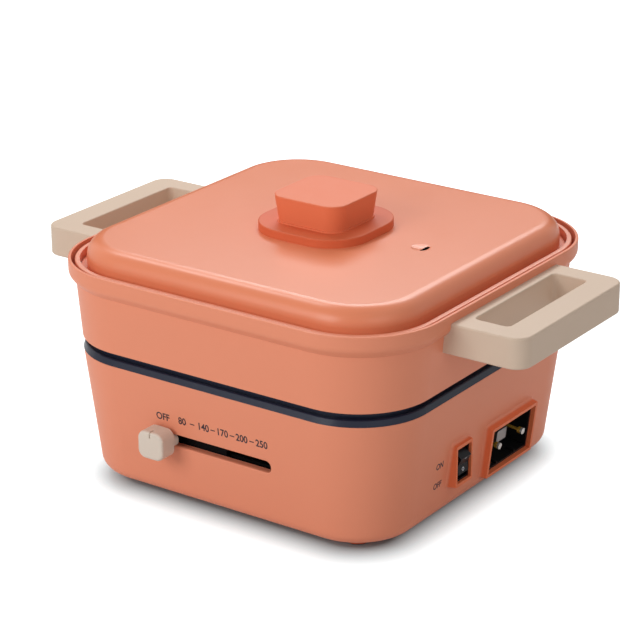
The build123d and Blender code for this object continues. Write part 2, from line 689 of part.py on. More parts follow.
with BuildPart() as lid_knob:
    with BuildSketch(Plane.XY.offset(SEAT_TOP)):
        RectangleRounded(KNOB_FOOT_SIDE, KNOB_FOOT_SIDE, KNOB_FOOT_RADIUS)
    with BuildSketch(Plane.XY.offset(KNOB_TOP)):
        RectangleRounded(KNOB_TOP_SIDE, KNOB_TOP_SIDE, KNOB_TOP_RADIUS)
    loft(ruled=True)
    fillet(lid_knob.edges().group_by(Axis.Z)[-1], KNOB_ROUNDING)
    # Thin skirt round the knob's foot
    with BuildSketch(Plane.XY.offset(SEAT_TOP)):
        RectangleRounded(KNOB_FOOT_SIDE + 2 * KNOB_SKIRT_WIDTH,
                         KNOB_FOOT_SIDE + 2 * KNOB_SKIRT_WIDTH,
                         KNOB_FOOT_RADIUS + KNOB_SKIRT_WIDTH)
    extrude(amount=KNOB_SKIRT_HEIGHT)
    with BuildSketch(Plane.XY.offset(SEAT_TOP)):
        Circle(KNOB_SPIGOT_RADIUS)
    extrude(amount=-KNOB_SPIGOT_HEIGHT)
    with BuildSketch(Plane.XY.offset(SEAT_TOP - KNOB_SPIGOT_HEIGHT)):
        Circle(KNOB_SCREW_RADIUS + HOLE_CLEARANCE)
    extrude(amount=KNOB_SPIGOT_HEIGHT + KNOB_SCREW_GRIP, mode=Mode.SUBTRACT)
lid_knob.part.label = "lid_knob"
export_step(lid_knob.part, "parts/lid_knob.step")

lid_underside = LID_TOP - LID_SHELL
with BuildPart() as lid_knob_washer:
    with BuildSketch(Plane.XY.offset(lid_underside)):
        Circle(WASHER_RADIUS)
        Circle(KNOB_SCREW_RADIUS + HOLE_CLEARANCE, mode=Mode.SUBTRACT)
    extrude(amount=-WASHER_THICKNESS)
lid_knob_washer.part.label = "lid_knob_washer"
export_step(lid_knob_washer.part, "parts/lid_knob_washer.step")

knob_screw_seat = lid_underside - WASHER_THICKNESS
knob_screw_length = SEAT_TOP + KNOB_SCREW_GRIP - HOLE_CLEARANCE - knob_screw_seat
with BuildPart() as lid_knob_screw:
    with Locations(Location(Plane(origin=(0, 0, knob_screw_seat), z_dir=(0, 0, -1)))):
        add(pan_screw(KNOB_SCREW_RADIUS, KNOB_SCREW_HEAD_RADIUS, KNOB_SCREW_HEAD_HEIGHT,
                      knob_screw_length))
lid_knob_screw.part.label = "lid_knob_screw"
export_step(lid_knob_screw.part, "parts/lid_knob_screw.step")

# ------------------------------------------------------------ housing

LUG_LOCATIONS = [
    (SLIDER_MIDDLE_X + along, SLOT_Z + up)
    for along in (-LUG_OFFSET_X, LUG_OFFSET_X) for up in (-LUG_OFFSET_Z, LUG_OFFSET_Z)
]
guide_front = PLATE_FRONT + GUIDE_FRONT_DEPTH
inlet_plane = wall_plane((1, 0), INLET_Y, INLET_Z)
inlet_back_plane = inlet_plane.offset(-WALL_NORMAL_THICKNESS)
hollow_floor = FOOT_HEIGHT + HOUSING_FLOOR


def housing_hollow():
    """The space inside the housing, above its floor."""
    with BuildPart() as hollow:
        band(hollow_floor, housing_half(hollow_floor) - HOUSING_WALL,
             HOUSING_TOP, HOUSING_TOP_HALF - HOUSING_WALL)
        fillet(hollow.edges().group_by(Axis.Z)[0], HOUSING_ROUNDING - HOUSING_WALL)
    return hollow.part


with BuildPart() as housing:
    band(FOOT_HEIGHT, HOUSING_FLOOR_HALF, HOUSING_TOP, HOUSING_TOP_HALF)
    fillet(housing.edges().group_by(Axis.Z)[0], HOUSING_ROUNDING)
    fillet(housing.edges().group_by(Axis.Z)[-1], HOUSING_EASE)
    # Raised frames of the switch and the inlet, with soft feet on the wall
    with BuildSketch(Plane.YZ.offset(SWITCH_FACE_X)):
        with Locations((SWITCH_Y, SWITCH_Z)):
            RectangleRounded(SWITCH_FRAME_WIDTH, SWITCH_FRAME_HEIGHT, FRAME_CORNER)
    extrude(amount=-2 * INLET_PROUD, taper=-FRAME_DRAFT)
    with BuildSketch(inlet_plane.offset(INLET_PROUD)):
        RectangleRounded(INLET_FRAME_WIDTH, INLET_FRAME_HEIGHT, FRAME_CORNER)
    extrude(amount=-INLET_PROUD - WALL_NORMAL_THICKNESS / 2, taper=-FRAME_DRAFT)
    frame_feet = [edge for edge in housing.edges() if lies_on(edge, wall_plane((1, 0), 0, INLET_Z))
                  and edge.length < CORNER_AXIS]
    fillet(frame_feet, FRAME_ROOT)
    add(housing_hollow(), mode=Mode.SUBTRACT)
    # Stepped opening in the floor for the bottom cover
    band(FOOT_HEIGHT, COVER_HALF + COVER_FIT, FOOT_HEIGHT + COVER_THICKNESS,
         COVER_HALF + COVER_FIT, mode=Mode.SUBTRACT)
    band(FOOT_HEIGHT, COVER_HALF - COVER_STEP, hollow_floor, COVER_HALF - COVER_STEP,
         mode=Mode.SUBTRACT)
    # Ribs that hold the slider's carriage from the front, and bosses for its guide
    for height in (SLOT_Z - RIB_OFFSET, SLOT_Z + RIB_OFFSET):
        with BuildSketch(Plane.XZ.offset(PLATE_FRONT + SLIDE_GAP)):
            with Locations((SLIDER_MIDDLE_X, height)):
                Rectangle(RIB_LENGTH, RIB_THICKNESS)
        extrude(amount=housing_half(height) - HOUSING_WALL / 2 - PLATE_FRONT - SLIDE_GAP)
    for along, height in LUG_LOCATIONS:
        with BuildSketch(Plane.XZ.offset(guide_front)):
            with Locations((along, height)):
                Circle(LUG_RADIUS)
        extrude(amount=housing_half(height) - HOUSING_WALL / 2 - guide_front)
    with BuildSketch(Plane.XZ.offset(guide_front)):
        with Locations(*LUG_LOCATIONS):
            Circle(SCREW_RADIUS + HOLE_CLEARANCE)
    extrude(amount=LUG_BITE + HOLE_CLEARANCE, mode=Mode.SUBTRACT)
    # Flat pad that the switch's flange seats on
    with BuildSketch(Plane.YZ.offset(SWITCH_FLANGE_X)):
        with Locations((SWITCH_Y, SWITCH_Z)):
            Rectangle(SWITCH_OPENING_WIDTH + 2 * SWITCH_FLANGE,
                      SWITCH_OPENING_HEIGHT + 2 * SWITCH_FLANGE)
    extrude(amount=(SWITCH_FACE_X - SWITCH_FLANGE_X) / 2)
    # Slot for the temperature slider
    with BuildSketch(Plane.XZ.offset(PLATE_FRONT)):
        with Locations((SLIDER_MIDDLE_X, SLOT_Z)):
            RectangleRounded(SLOT_LENGTH, SLOT_WIDTH, SLOT_CORNER)
    extrude(amount=HOUSING_TOP_HALF - PLATE_FRONT, mode=Mode.SUBTRACT)
    slot_mouth = [edge for edge in housing.edges() if lies_on(edge, wall_plane((0, -1), 0, SLOT_Z))
                  and abs(edge.center().X - SLIDER_MIDDLE_X) <= SLOT_LENGTH / 2
                  and abs(edge.center().Z - SLOT_Z) <= SLOT_WIDTH]
    fillet(slot_mouth, SLOT_EASE)
    # Openings for the switch and the inlet
    with BuildSketch(Plane.YZ.offset(SWITCH_FACE_X)):
        with Locations((SWITCH_Y, SWITCH_Z)):
            Rectangle(SWITCH_OPENING_WIDTH, SWITCH_OPENING_HEIGHT)
    extrude(amount=-SWITCH_DEPTH, mode=Mode.SUBTRACT)
    with BuildSketch(inlet_plane.offset(INLET_PROUD)):
        Rectangle(INLET_OPENING_WIDTH, INLET_OPENING_HEIGHT)
    extrude(amount=-SWITCH_DEPTH, mode=Mode.SUBTRACT)
    with BuildSketch(inlet_back_plane):
        with GridLocations(2 * INLET_EAR, 0, 2, 1):
            Circle(SCREW_RADIUS + HOLE_CLEARANCE)
    extrude(amount=INLET_SCREW_BITE + HOLE_CLEARANCE, mode=Mode.SUBTRACT)
housing.part.label = "housing"
export_step(housing.part, "parts/housing.step")

# ------------------------------------------------------------ bottom cover

POST_LOCATIONS = [(x, y) for x in (-POST_X, POST_X) for y in (-POST_Y, POST_Y)]
FOOT_LOCATIONS = [(x, y) for x in (-FOOT_X, FOOT_X) for y in (-FOOT_Y, FOOT_Y)]
post_top = TRAY_FLOOR_BOTTOM - TRAY_BOSS_LENGTH
pad_seat = PAD_HEIGHT - PAD_RECESS
foot_bottom = PAD_BOTTOM + pad_seat

with BuildPart() as bottom_cover:
    band(FOOT_HEIGHT, COVER_HALF, FOOT_HEIGHT + COVER_THICKNESS, COVER_HALF)
    band(FOOT_HEIGHT + COVER_THICKNESS, COVER_HALF - COVER_STEP - COVER_FIT,
         COVER_TOP, COVER_HALF - COVER_STEP - COVER_FIT)
    with BuildSketch(Plane.XY.offset(FOOT_HEIGHT)):
        with Locations(*FOOT_LOCATIONS):
            Circle(FOOT_RADIUS)
    extrude(amount=foot_bottom - FOOT_HEIGHT, taper=FOOT_DRAFT)
    with BuildSketch(Plane.XY.offset(foot_bottom)):
        with Locations(*FOOT_LOCATIONS):
            Circle(PAD_RADIUS + HOLE_CLEARANCE)
    extrude(amount=PAD_RECESS, mode=Mode.SUBTRACT)
    with BuildSketch(Plane.XY.offset(COVER_TOP)):
        with Locations(*POST_LOCATIONS):
            Circle(POST_RADIUS)
    extrude(amount=post_top - COVER_TOP)
    with BuildSketch(Plane.XY.offset(FOOT_HEIGHT)):
        with Locations(*POST_LOCATIONS):
            Circle(SCREW_HEAD_RADIUS + HOLE_CLEARANCE)
    extrude(amount=2 * SCREW_HEAD_HEIGHT, mode=Mode.SUBTRACT)
    with BuildSketch(Plane.XY.offset(FOOT_HEIGHT)):
        with Locations(*POST_LOCATIONS):
            Circle(SCREW_RADIUS + HOLE_CLEARANCE)
        with GridLocations(VENT_SPREAD, VENT_PITCH, 2, VENT_COUNT):
            SlotOverall(VENT_LENGTH, VENT_WIDTH)
    extrude(amount=post_top, mode=Mode.SUBTRACT)
bottom_cover.part.label = "bottom_cover"
export_step(bottom_cover.part, "parts/bottom_cover.step")

with BuildPart() as foot_pads:
    with BuildSketch(Plane.XY.offset(PAD_BOTTOM)):
        with Locations(*FOOT_LOCATIONS):
            Circle(PAD_RADIUS)
    extrude(amount=PAD_HEIGHT)
foot_pads.part.label = "foot_pads"
export_step(foot_pads.part, "parts/foot_pads.step")

case_screw_seat = FOOT_HEIGHT + 2 * SCREW_HEAD_HEIGHT
case_screw_length = post_top + TRAY_BOSS_LENGTH - HOLE_CLEARANCE - case_screw_seat
with BuildPart() as case_screws:
    with Locations(*[Location(Plane(origin=(x, y, case_screw_seat), z_dir=(0, 0, -1)))
                     for x, y in POST_LOCATIONS]):
        add(pan_screw(SCREW_RADIUS, SCREW_HEAD_RADIUS, SCREW_HEAD_HEIGHT, case_screw_length))
case_screws.part.label = "case_screws"
export_step(case_screws.part, "parts/case_screws.step")

# ------------------------------------------------------------ heat tray

heater_holes = [(side * HEATER_LEG_X, HEATER_HALF) for side in (-1, 1)]
bracket_holes = [(SLIDER_MIDDLE_X + side * (BRACKET_LENGTH - THERMOSTAT_DEPTH / 2) / 2, PINION_Y)
                 for side in (-1, 1)]
fuse_holes = [(FUSE_X, FUSE_Y + side * FUSE_CLIP_FOOT) for side in (-1, 1)]
clip_holes = [(across * HEATER_HALF, side * CLIP_FOOT / 3)
              for across in (-1, 1) for side in (-1, 1)]
clip_holes += [(side * CLIP_FOOT / 3, -HEATER_HALF) for side in (-1, 1)]
skirt_low = HOUSING_TOP - TRAY_SKIRT_DEPTH
skirt_inset = HOUSING_WALL + SLIDE_GAP

with BuildPart() as heat_tray:
    band(TRAY_FLOOR_BOTTOM, TRAY_FLOOR_HALF + TRAY_WALL, HOUSING_TOP,
         tray_half(HOUSING_TOP) + TRAY_WALL)
    band(skirt_low, housing_half(skirt_low) - skirt_inset,
         HOUSING_TOP, HOUSING_TOP_HALF - skirt_inset)
    band(HOUSING_TOP, HOUSING_TOP_HALF, RING_TOP, RING_TOP_HALF)
    chamfer(heat_tray.edges().group_by(Axis.Z)[-1], RING_EASE)
    band(RING_TOP, COLLAR_HALF, GUARD_BOTTOM - SEAT_GAP, COLLAR_HALF)
    band(GUARD_BOTTOM - SEAT_GAP, BEAD_HALF, TRAY_MOUTH_TOP, BEAD_HALF)
    band(TRAY_FLOOR_HEIGHT, TRAY_FLOOR_HALF, TRAY_MOUTH_TOP, TRAY_MOUTH_HALF,
         mode=Mode.SUBTRACT)
    with BuildSketch(Plane.XY.offset(TRAY_FLOOR_BOTTOM)):
        with Locations(*POST_LOCATIONS):
            Circle(TRAY_BOSS_RADIUS)
            Circle(SCREW_RADIUS + HOLE_CLEARANCE, mode=Mode.SUBTRACT)
    extrude(amount=-TRAY_BOSS_LENGTH)
    with BuildSketch(Plane.XY.offset(TRAY_FLOOR_BOTTOM)):
        Circle(GUIDE_NECK_RADIUS + HOLE_CLEARANCE)
        with Locations(*heater_holes):
            Circle(BUSH_NECK_RADIUS + HOLE_CLEARANCE)
        with Locations(*bracket_holes, *fuse_holes, *clip_holes):
            Circle(RIVET_RADIUS + HOLE_CLEARANCE)
    extrude(amount=TRAY_WALL, mode=Mode.SUBTRACT)
heat_tray.part.label = "heat_tray"
export_step(heat_tray.part, "parts/heat_tray.step")

# ------------------------------------------------------------ heating element

leg_end = TRAY_FLOOR_BOTTOM - HEATER_LEG_DEPTH
heater_corners = [
    (-HEATER_LEG_X, HEATER_HALF, leg_end),
    (-HEATER_LEG_X, HEATER_HALF, HEATER_LEVEL),
    (-HEATER_HALF, HEATER_HALF, HEATER_LEVEL),
    (-HEATER_HALF, -HEATER_HALF, HEATER_LEVEL),
    (HEATER_HALF, -HEATER_HALF, HEATER_LEVEL),
    (HEATER_HALF, HEATER_HALF, HEATER_LEVEL),
    (HEATER_LEG_X, HEATER_HALF, HEATER_LEVEL),
    (HEATER_LEG_X, HEATER_HALF, leg_end),
]
heater_radii = [HEATER_LEG_BEND] + [HEATER_BEND] * 4 + [HEATER_LEG_BEND]

with BuildPart() as heater_element:
    with BuildLine() as heater_path:
        FilletPolyline(*heater_corners, radius=heater_radii)
    with BuildSketch(Plane(origin=heater_corners[0])):
        Circle(HEATER_RADIUS)
    sweep(path=heater_path.wire())
heater_element.part.label = "heater_element"
export_step(heater_element.part, "parts/heater_element.step")

with BuildPart() as heater_bushes:
    with BuildSketch(Plane.XY.offset(TRAY_FLOOR_HEIGHT)):
        with Locations(*heater_holes):
            Circle(BUSH_RADIUS)
            Circle(HEATER_RADIUS + HOLE_CLEARANCE, mode=Mode.SUBTRACT)
    extrude(amount=BUSH_HEAD)
    with BuildSketch(Plane.XY.offset(TRAY_FLOOR_HEIGHT)):
        with Locations(*heater_holes):
            Circle(BUSH_NECK_RADIUS)
            Circle(HEATER_RADIUS + HOLE_CLEARANCE, mode=Mode.SUBTRACT)
    extrude(amount=-BUSH_DEPTH)
heater_bushes.part.label = "heater_bushes"
export_step(heater_bushes.part, "parts/heater_bushes.step")

with BuildPart() as heater_terminals:
    with BuildSketch(Plane.XY.offset(leg_end)):
        with Locations(*heater_holes):
            Rectangle(TERMINAL_WIDTH, TERMINAL_THICKNESS)
    extrude(amount=-TERMINAL_LENGTH)
heater_terminals.part.label = "heater_terminals"
export_step(heater_terminals.part, "parts/heater_terminals.step")

clip_planes = [
    Plane(origin=(-HEATER_HALF, 0, TRAY_FLOOR_HEIGHT), x_dir=(1, 0, 0), z_dir=(0, -1, 0)),
    Plane(origin=(HEATER_HALF, 0, TRAY_FLOOR_HEIGHT), x_dir=(1, 0, 0), z_dir=(0, -1, 0)),
    Plane(origin=(0, -HEATER_HALF, TRAY_FLOOR_HEIGHT), x_dir=(0, 1, 0), z_dir=(1, 0, 0)),
]
saddle_height = HEATER_LEVEL - TRAY_FLOOR_HEIGHT
with BuildPart() as heater_clips:
    for clip_plane in clip_planes:
        with BuildSketch(clip_plane):
            with Locations((0, saddle_height / 2)):
                Rectangle(CLIP_WIDTH, saddle_height)
            with Locations((0, saddle_height)):
                Circle(HEATER_RADIUS + HOLE_CLEARANCE, mode=Mode.SUBTRACT)
        extrude(amount=CLIP_THICKNESS / 2, both=True)
        with BuildSketch(Plane(origin=clip_plane.origin, x_dir=clip_plane.x_dir)):
            Rectangle(CLIP_WIDTH, CLIP_FOOT)
            with GridLocations(0, 2 * CLIP_FOOT / 3, 1, 2):
                Circle(RIVET_RADIUS + HOLE_CLEARANCE, mode=Mode.SUBTRACT)
        extrude(amount=BRACKET_THICKNESS)
heater_clips.part.label = "heater_clips"
export_step(heater_clips.part, "parts/heater_clips.step")

rivet_grip = TRAY_WALL + BRACKET_THICKNESS
with BuildPart() as tray_rivets:
    with Locations(*[(x, y, TRAY_FLOOR_BOTTOM) for x, y in clip_holes]):
        add(rivet(rivet_grip))
    with Locations(*[(x, y, TRAY_FLOOR_BOTTOM - BRACKET_THICKNESS)
                     for x, y in bracket_holes + fuse_holes]):
        add(rivet(rivet_grip))
tray_rivets.part.label = "tray_rivets"
export_step(tray_rivets.part, "parts/tray_rivets.step")

# ------------------------------------------------------------ pot sensor

cap_top = POT_FLOOR_HEIGHT - SENSOR_POT_GAP
cap_bottom = cap_top - SENSOR_CAP_HEIGHT
guide_top = TRAY_FLOOR_HEIGHT + GUIDE_FLANGE_HEIGHT
guide_bottom = guide_top - GUIDE_LENGTH

with BuildPart() as sensor_guide:
    with BuildSketch(Plane.XY.offset(TRAY_FLOOR_HEIGHT)):
        Circle(GUIDE_FLANGE_RADIUS)
    extrude(amount=GUIDE_FLANGE_HEIGHT)
    with BuildSketch(Plane.XY.offset(guide_bottom)):
        Circle(GUIDE_NECK_RADIUS)
    extrude(amount=GUIDE_LENGTH)
    with BuildSketch(Plane.XY.offset(TRAY_FLOOR_BOTTOM)):
        Circle(GUIDE_COLLAR_RADIUS)
    extrude(amount=guide_bottom - TRAY_FLOOR_BOTTOM)
    with BuildSketch(Plane.XY.offset(guide_top)):
        Circle(SENSOR_BORE_RADIUS)
    extrude(amount=-GUIDE_LENGTH, mode=Mode.SUBTRACT)
sensor_guide.part.label = "sensor_guide"
export_step(sensor_guide.part, "parts/sensor_guide.step")

stop_top = guide_bottom - SEAT_GAP
with BuildPart() as sensor_cap:
    with BuildSketch(Plane.XY.offset(cap_bottom)):
        Circle(SENSOR_CAP_RADIUS)
    extrude(amount=SENSOR_CAP_HEIGHT)
    chamfer(sensor_cap.edges().group_by(Axis.Z)[-1], EDGE_EASE)
    with BuildSketch(Plane.XY.offset(cap_bottom)):
        Circle(SENSOR_STEM_RADIUS)
    extrude(amount=stop_top - cap_bottom)
    with BuildSketch(Plane.XY.offset(stop_top)):
        Circle(SENSOR_STOP_RADIUS)
    extrude(amount=-SENSOR_STOP_HEIGHT)
sensor_cap.part.label = "sensor_cap"
export_step(sensor_cap.part, "parts/sensor_cap.step")

spring_low = guide_top + SPRING_WIRE_RADIUS
spring_height = cap_bottom - SPRING_WIRE_RADIUS - spring_low
with BuildPart() as sensor_spring:
    with BuildLine() as coil:
        Helix(pitch=spring_height / SPRING_TURNS, height=spring_height, radius=SPRING_RADIUS,
              center=(0, 0, spring_low))
    with BuildSketch(Plane(origin=coil.line @ 0, z_dir=coil.line % 0)):
        Circle(SPRING_WIRE_RADIUS)
    sweep(path=coil.line, is_frenet=True)
sensor_spring.part.label = "sensor_spring"
export_step(sensor_spring.part, "parts/sensor_spring.step")

# ------------------------------------------------------------ temperature slider

knob_back = SLIDE_KNOB_FRONT - SLIDE_KNOB_DEPTH
neck_back = housing_half(SLOT_Z) - HOUSING_WALL / 2
stem_front = knob_back + STEM_GRIP - HOLE_CLEARANCE

with BuildPart() as slide_knob:
    with BuildSketch(Plane.XZ.offset(knob_back)):
        with Locations((SLIDER_OFF_X, SLOT_Z)):
            RectangleRounded(SLIDE_KNOB_WIDTH, SLIDE_KNOB_HEIGHT, SLIDE_KNOB_CORNER)
    extrude(amount=SLIDE_KNOB_DEPTH)
    fillet(slide_knob.edges().group_by(Axis.Y)[0], SLIDE_KNOB_ROUNDING)
    with BuildSketch(Plane.XZ.offset(neck_back)):
        with Locations((SLIDER_OFF_X, SLOT_Z)):
            RectangleRounded(NECK_WIDTH, NECK_HEIGHT, SLOT_CORNER - NECK_GAP)
    extrude(amount=knob_back - neck_back)
    # Pointer groove, over the top edge and down the front
    with BuildSketch(Plane.XZ.offset(SLIDE_KNOB_FRONT)):
        with Locations((SLIDER_OFF_X, SLOT_Z + SLIDE_KNOB_HEIGHT / 2)):
            Rectangle(POINTER_WIDTH, POINTER_LENGTH)
    extrude(amount=-POINTER_DEPTH, mode=Mode.SUBTRACT)
    with BuildSketch(Plane.XY.offset(SLOT_Z + SLIDE_KNOB_HEIGHT / 2)):
        with Locations((SLIDER_OFF_X, -SLIDE_KNOB_FRONT)):
            Rectangle(POINTER_WIDTH, 2 * POINTER_TOP_LENGTH)
    extrude(amount=-POINTER_DEPTH, mode=Mode.SUBTRACT)
    # Socket for the carriage's stem
    with BuildSketch(Plane.XZ.offset(neck_back)):
        with Locations((SLIDER_OFF_X, SLOT_Z)):
            Rectangle(STEM_WIDTH + HOLE_CLEARANCE, STEM_HEIGHT + HOLE_CLEARANCE)
    extrude(amount=knob_back + STEM_GRIP - neck_back, mode=Mode.SUBTRACT)
slide_knob.part.label = "slide_knob"
export_step(slide_knob.part, "parts/slide_knob.step")

rack_tip = RACK_LINE - GEAR_MODULE
rack_root = RACK_LINE + DEDENDUM * GEAR_MODULE
flank_slope = math.tan(math.radians(PRESSURE_ANGLE))
half_tooth = (TOOTH_PITCH - GEAR_BACKLASH) / 4
half_tip = half_tooth - GEAR_MODULE * flank_slope
half_root = half_tooth + DEDENDUM * GEAR_MODULE * flank_slope
rack_tooth = [(-half_root, -rack_root), (half_root, -rack_root), (half_tip, -rack_tip),
              (-half_tip, -rack_tip)]

with BuildPart() as slide_carriage:
    with BuildSketch(Plane.XZ.offset(PLATE_BACK)):
        with Locations((SLIDER_OFF_X, SLOT_Z)):
            Rectangle(RACK_LENGTH + 2 * GEAR_MODULE, PLATE_HEIGHT)
    extrude(amount=PLATE_THICKNESS)
    with BuildSketch(Plane.XZ.offset(PLATE_FRONT)):
        with Locations((SLIDER_OFF_X, SLOT_Z)):
            Rectangle(STEM_WIDTH, STEM_HEIGHT)
    extrude(amount=stem_front - PLATE_FRONT)
    with BuildSketch(Plane.XY.offset(SLOT_Z - RACK_HEIGHT / 2)):
        with Locations((SLIDER_OFF_X, -(PLATE_BACK + rack_root) / 2)):
            Rectangle(RACK_LENGTH, PLATE_BACK - rack_root)
        with Locations((SLIDER_OFF_X, 0)):
            with GridLocations(TOOTH_PITCH, 0, RACK_TEETH, 1):
                add(outline_of(rack_tooth))
    extrude(amount=RACK_HEIGHT)
slide_carriage.part.label = "slide_carriage"
export_step(slide_carriage.part, "parts/slide_carriage.step")

with BuildPart() as slide_guide:
    with BuildSketch(Plane.XZ.offset(GUIDE_BACK - GUIDE_RIM)):
        with Locations((SLIDER_MIDDLE_X, SLOT_Z)):
            RectangleRounded(POCKET_LENGTH + 2 * GUIDE_RIM, GUIDE_HEIGHT, GUIDE_RIM)
    extrude(amount=guide_front - GUIDE_BACK + GUIDE_RIM)
    with BuildSketch(Plane.XZ.offset(GUIDE_BACK)):
        with Locations((SLIDER_MIDDLE_X, SLOT_Z)):
            Rectangle(POCKET_LENGTH, PLATE_HEIGHT + 2 * SLIDE_GAP)
    extrude(amount=guide_front - GUIDE_BACK, mode=Mode.SUBTRACT)
    with BuildSketch(Plane.XZ.offset(GUIDE_BACK - GUIDE_RIM)):
        with Locations((SLIDER_MIDDLE_X, SLOT_Z)):
            Rectangle(POCKET_LENGTH, WINDOW_HEIGHT)
        with Locations(*LUG_LOCATIONS):
            Circle(SCREW_RADIUS + HOLE_CLEARANCE)
    extrude(amount=guide_front - GUIDE_BACK + GUIDE_RIM, mode=Mode.SUBTRACT)
slide_guide.part.label = "slide_guide"
export_step(slide_guide.part, "parts/slide_guide.step")

guide_screw_seat = GUIDE_BACK - GUIDE_RIM
guide_screw_length = guide_front - guide_screw_seat + LUG_BITE
with BuildPart() as guide_screws:
    with Locations(*[Location(Plane(origin=(x, -guide_screw_seat, z), z_dir=(0, 1, 0)))
                     for x, z in LUG_LOCATIONS]):
        add(pan_screw(SCREW_RADIUS, SCREW_HEAD_RADIUS, SCREW_HEAD_HEIGHT, guide_screw_length))
guide_screws.part.label = "guide_screws"
export_step(guide_screws.part, "parts/guide_screws.step")

# ------------------------------------------------------------ thermostat and pinion

thermostat_top = TRAY_FLOOR_BOTTOM - BRACKET_THICKNESS
thermostat_bottom = thermostat_top - THERMOSTAT_HEIGHT
pinion_low = SLOT_Z - PINION_HEIGHT / 2
tooth_lead = ((SLIDER_MIDDLE_X - SLIDER_OFF_X) / TOOTH_PITCH) % 1.0
pinion_turn = -math.degrees(tooth_lead * TOOTH_PITCH / PINION_RADIUS)
gap_turn = 180.0 / PINION_TEETH
first_tooth = -90.0 + pinion_turn + gap_turn

with BuildPart() as thermostat_bracket:
    with BuildSketch(Plane.XY.offset(thermostat_top)):
        with Locations((SLIDER_MIDDLE_X, PINION_Y)):
            RectangleRounded(BRACKET_LENGTH, THERMOSTAT_DEPTH, EDGE_EASE * 4)
        with Locations(*bracket_holes):
            Circle(RIVET_RADIUS + HOLE_CLEARANCE, mode=Mode.SUBTRACT)
    extrude(amount=BRACKET_THICKNESS)
thermostat_bracket.part.label = "thermostat_bracket"
export_step(thermostat_bracket.part, "parts/thermostat_bracket.step")

with BuildPart() as thermostat_body:
    with BuildSketch(Plane.XY.offset(thermostat_bottom)):
        with Locations((SLIDER_MIDDLE_X, PINION_Y)):
            RectangleRounded(THERMOSTAT_WIDTH, THERMOSTAT_DEPTH, EDGE_EASE * 4)
    extrude(amount=THERMOSTAT_HEIGHT)
    with BuildSketch(Plane.XY.offset(thermostat_bottom)):
        with Locations((SLIDER_MIDDLE_X, PINION_Y)):
            Circle(SHAFT_RADIUS + SHAFT_CLEARANCE)
    extrude(amount=THERMOSTAT_HEIGHT / 2, mode=Mode.SUBTRACT)
thermostat_body.part.label = "thermostat_body"
export_step(thermostat_body.part, "parts/thermostat_body.step")

with BuildPart() as thermostat_blades:
    with BuildSketch(Plane.XY.offset(thermostat_bottom + THERMOSTAT_HEIGHT / 2)):
        for side in (-1, 1):
            with Locations((SLIDER_MIDDLE_X + side * (THERMOSTAT_WIDTH + BLADE_LENGTH) / 2,
                            PINION_Y)):
                Rectangle(BLADE_LENGTH, BLADE_WIDTH)
    extrude(amount=BLADE_THICKNESS)
thermostat_blades.part.label = "thermostat_blades"
export_step(thermostat_blades.part, "parts/thermostat_blades.step")

shaft_end = pinion_low - PINION_HUB_HEIGHT
with BuildPart() as thermostat_shaft:
    with BuildSketch(Plane.XY.offset(shaft_end)):
        with Locations((SLIDER_MIDDLE_X, PINION_Y)):
            Circle(SHAFT_RADIUS)
            with Locations((0, 2 * SHAFT_RADIUS - SHAFT_FLAT)):
                Rectangle(2 * SHAFT_RADIUS, 2 * SHAFT_RADIUS, mode=Mode.SUBTRACT)
    extrude(amount=PINION_HEIGHT + PINION_HUB_HEIGHT)
    with BuildSketch(Plane.XY.offset(pinion_low + PINION_HEIGHT)):
        with Locations((SLIDER_MIDDLE_X, PINION_Y)):
            Circle(SHAFT_RADIUS)
    shaft_tip = thermostat_bottom + THERMOSTAT_HEIGHT / 2 - SEAT_GAP
    extrude(amount=shaft_tip - pinion_low - PINION_HEIGHT)
thermostat_shaft.part.label = "thermostat_shaft"
export_step(thermostat_shaft.part, "parts/thermostat_shaft.step")

tooth_points = involute_tooth(PINION_TEETH, GEAR_MODULE, GEAR_BACKLASH)
with BuildPart() as slider_pinion:
    with BuildSketch(Plane.XY.offset(pinion_low)):
        with Locations((SLIDER_MIDDLE_X, PINION_Y)):
            Circle(PINION_RADIUS - DEDENDUM * GEAR_MODULE)
            with PolarLocations(0, PINION_TEETH, start_angle=first_tooth):
                add(outline_of(tooth_points))
            with PolarLocations((PINION_HUB_RADIUS + PINION_RADIUS) / 2 - GEAR_MODULE / 2,
                                SPOKE_HOLES):
                Circle(SPOKE_HOLE_RADIUS, mode=Mode.SUBTRACT)
    extrude(amount=PINION_HEIGHT)
    with BuildSketch(Plane.XY.offset(shaft_end)):
        with Locations((SLIDER_MIDDLE_X, PINION_Y)):
            Circle(PINION_HUB_RADIUS)
    extrude(amount=PINION_HUB_HEIGHT)
    with BuildSketch(Plane.XY.offset(shaft_end)):
        with Locations((SLIDER_MIDDLE_X, PINION_Y)):
            Circle(SHAFT_RADIUS)
            with Locations((0, 2 * SHAFT_RADIUS - SHAFT_FLAT)):
                Rectangle(2 * SHAFT_RADIUS, 2 * SHAFT_RADIUS, mode=Mode.SUBTRACT)
    extrude(amount=PINION_HEIGHT + PINION_HUB_HEIGHT, mode=Mode.SUBTRACT)
slider_pinion.part.label = "slider_pinion"
export_step(slider_pinion.part, "parts/slider_pinion.step")

# ------------------------------------------------------------ rocker switch

switch_front = SWITCH_FACE_X - SWITCH_RECESS
switch_back = switch_front - SWITCH_DEPTH
pivot_x = switch_front - ROCKER_PIVOT_DEPTH
switch_fit = 2 * HOLE_CLEARANCE

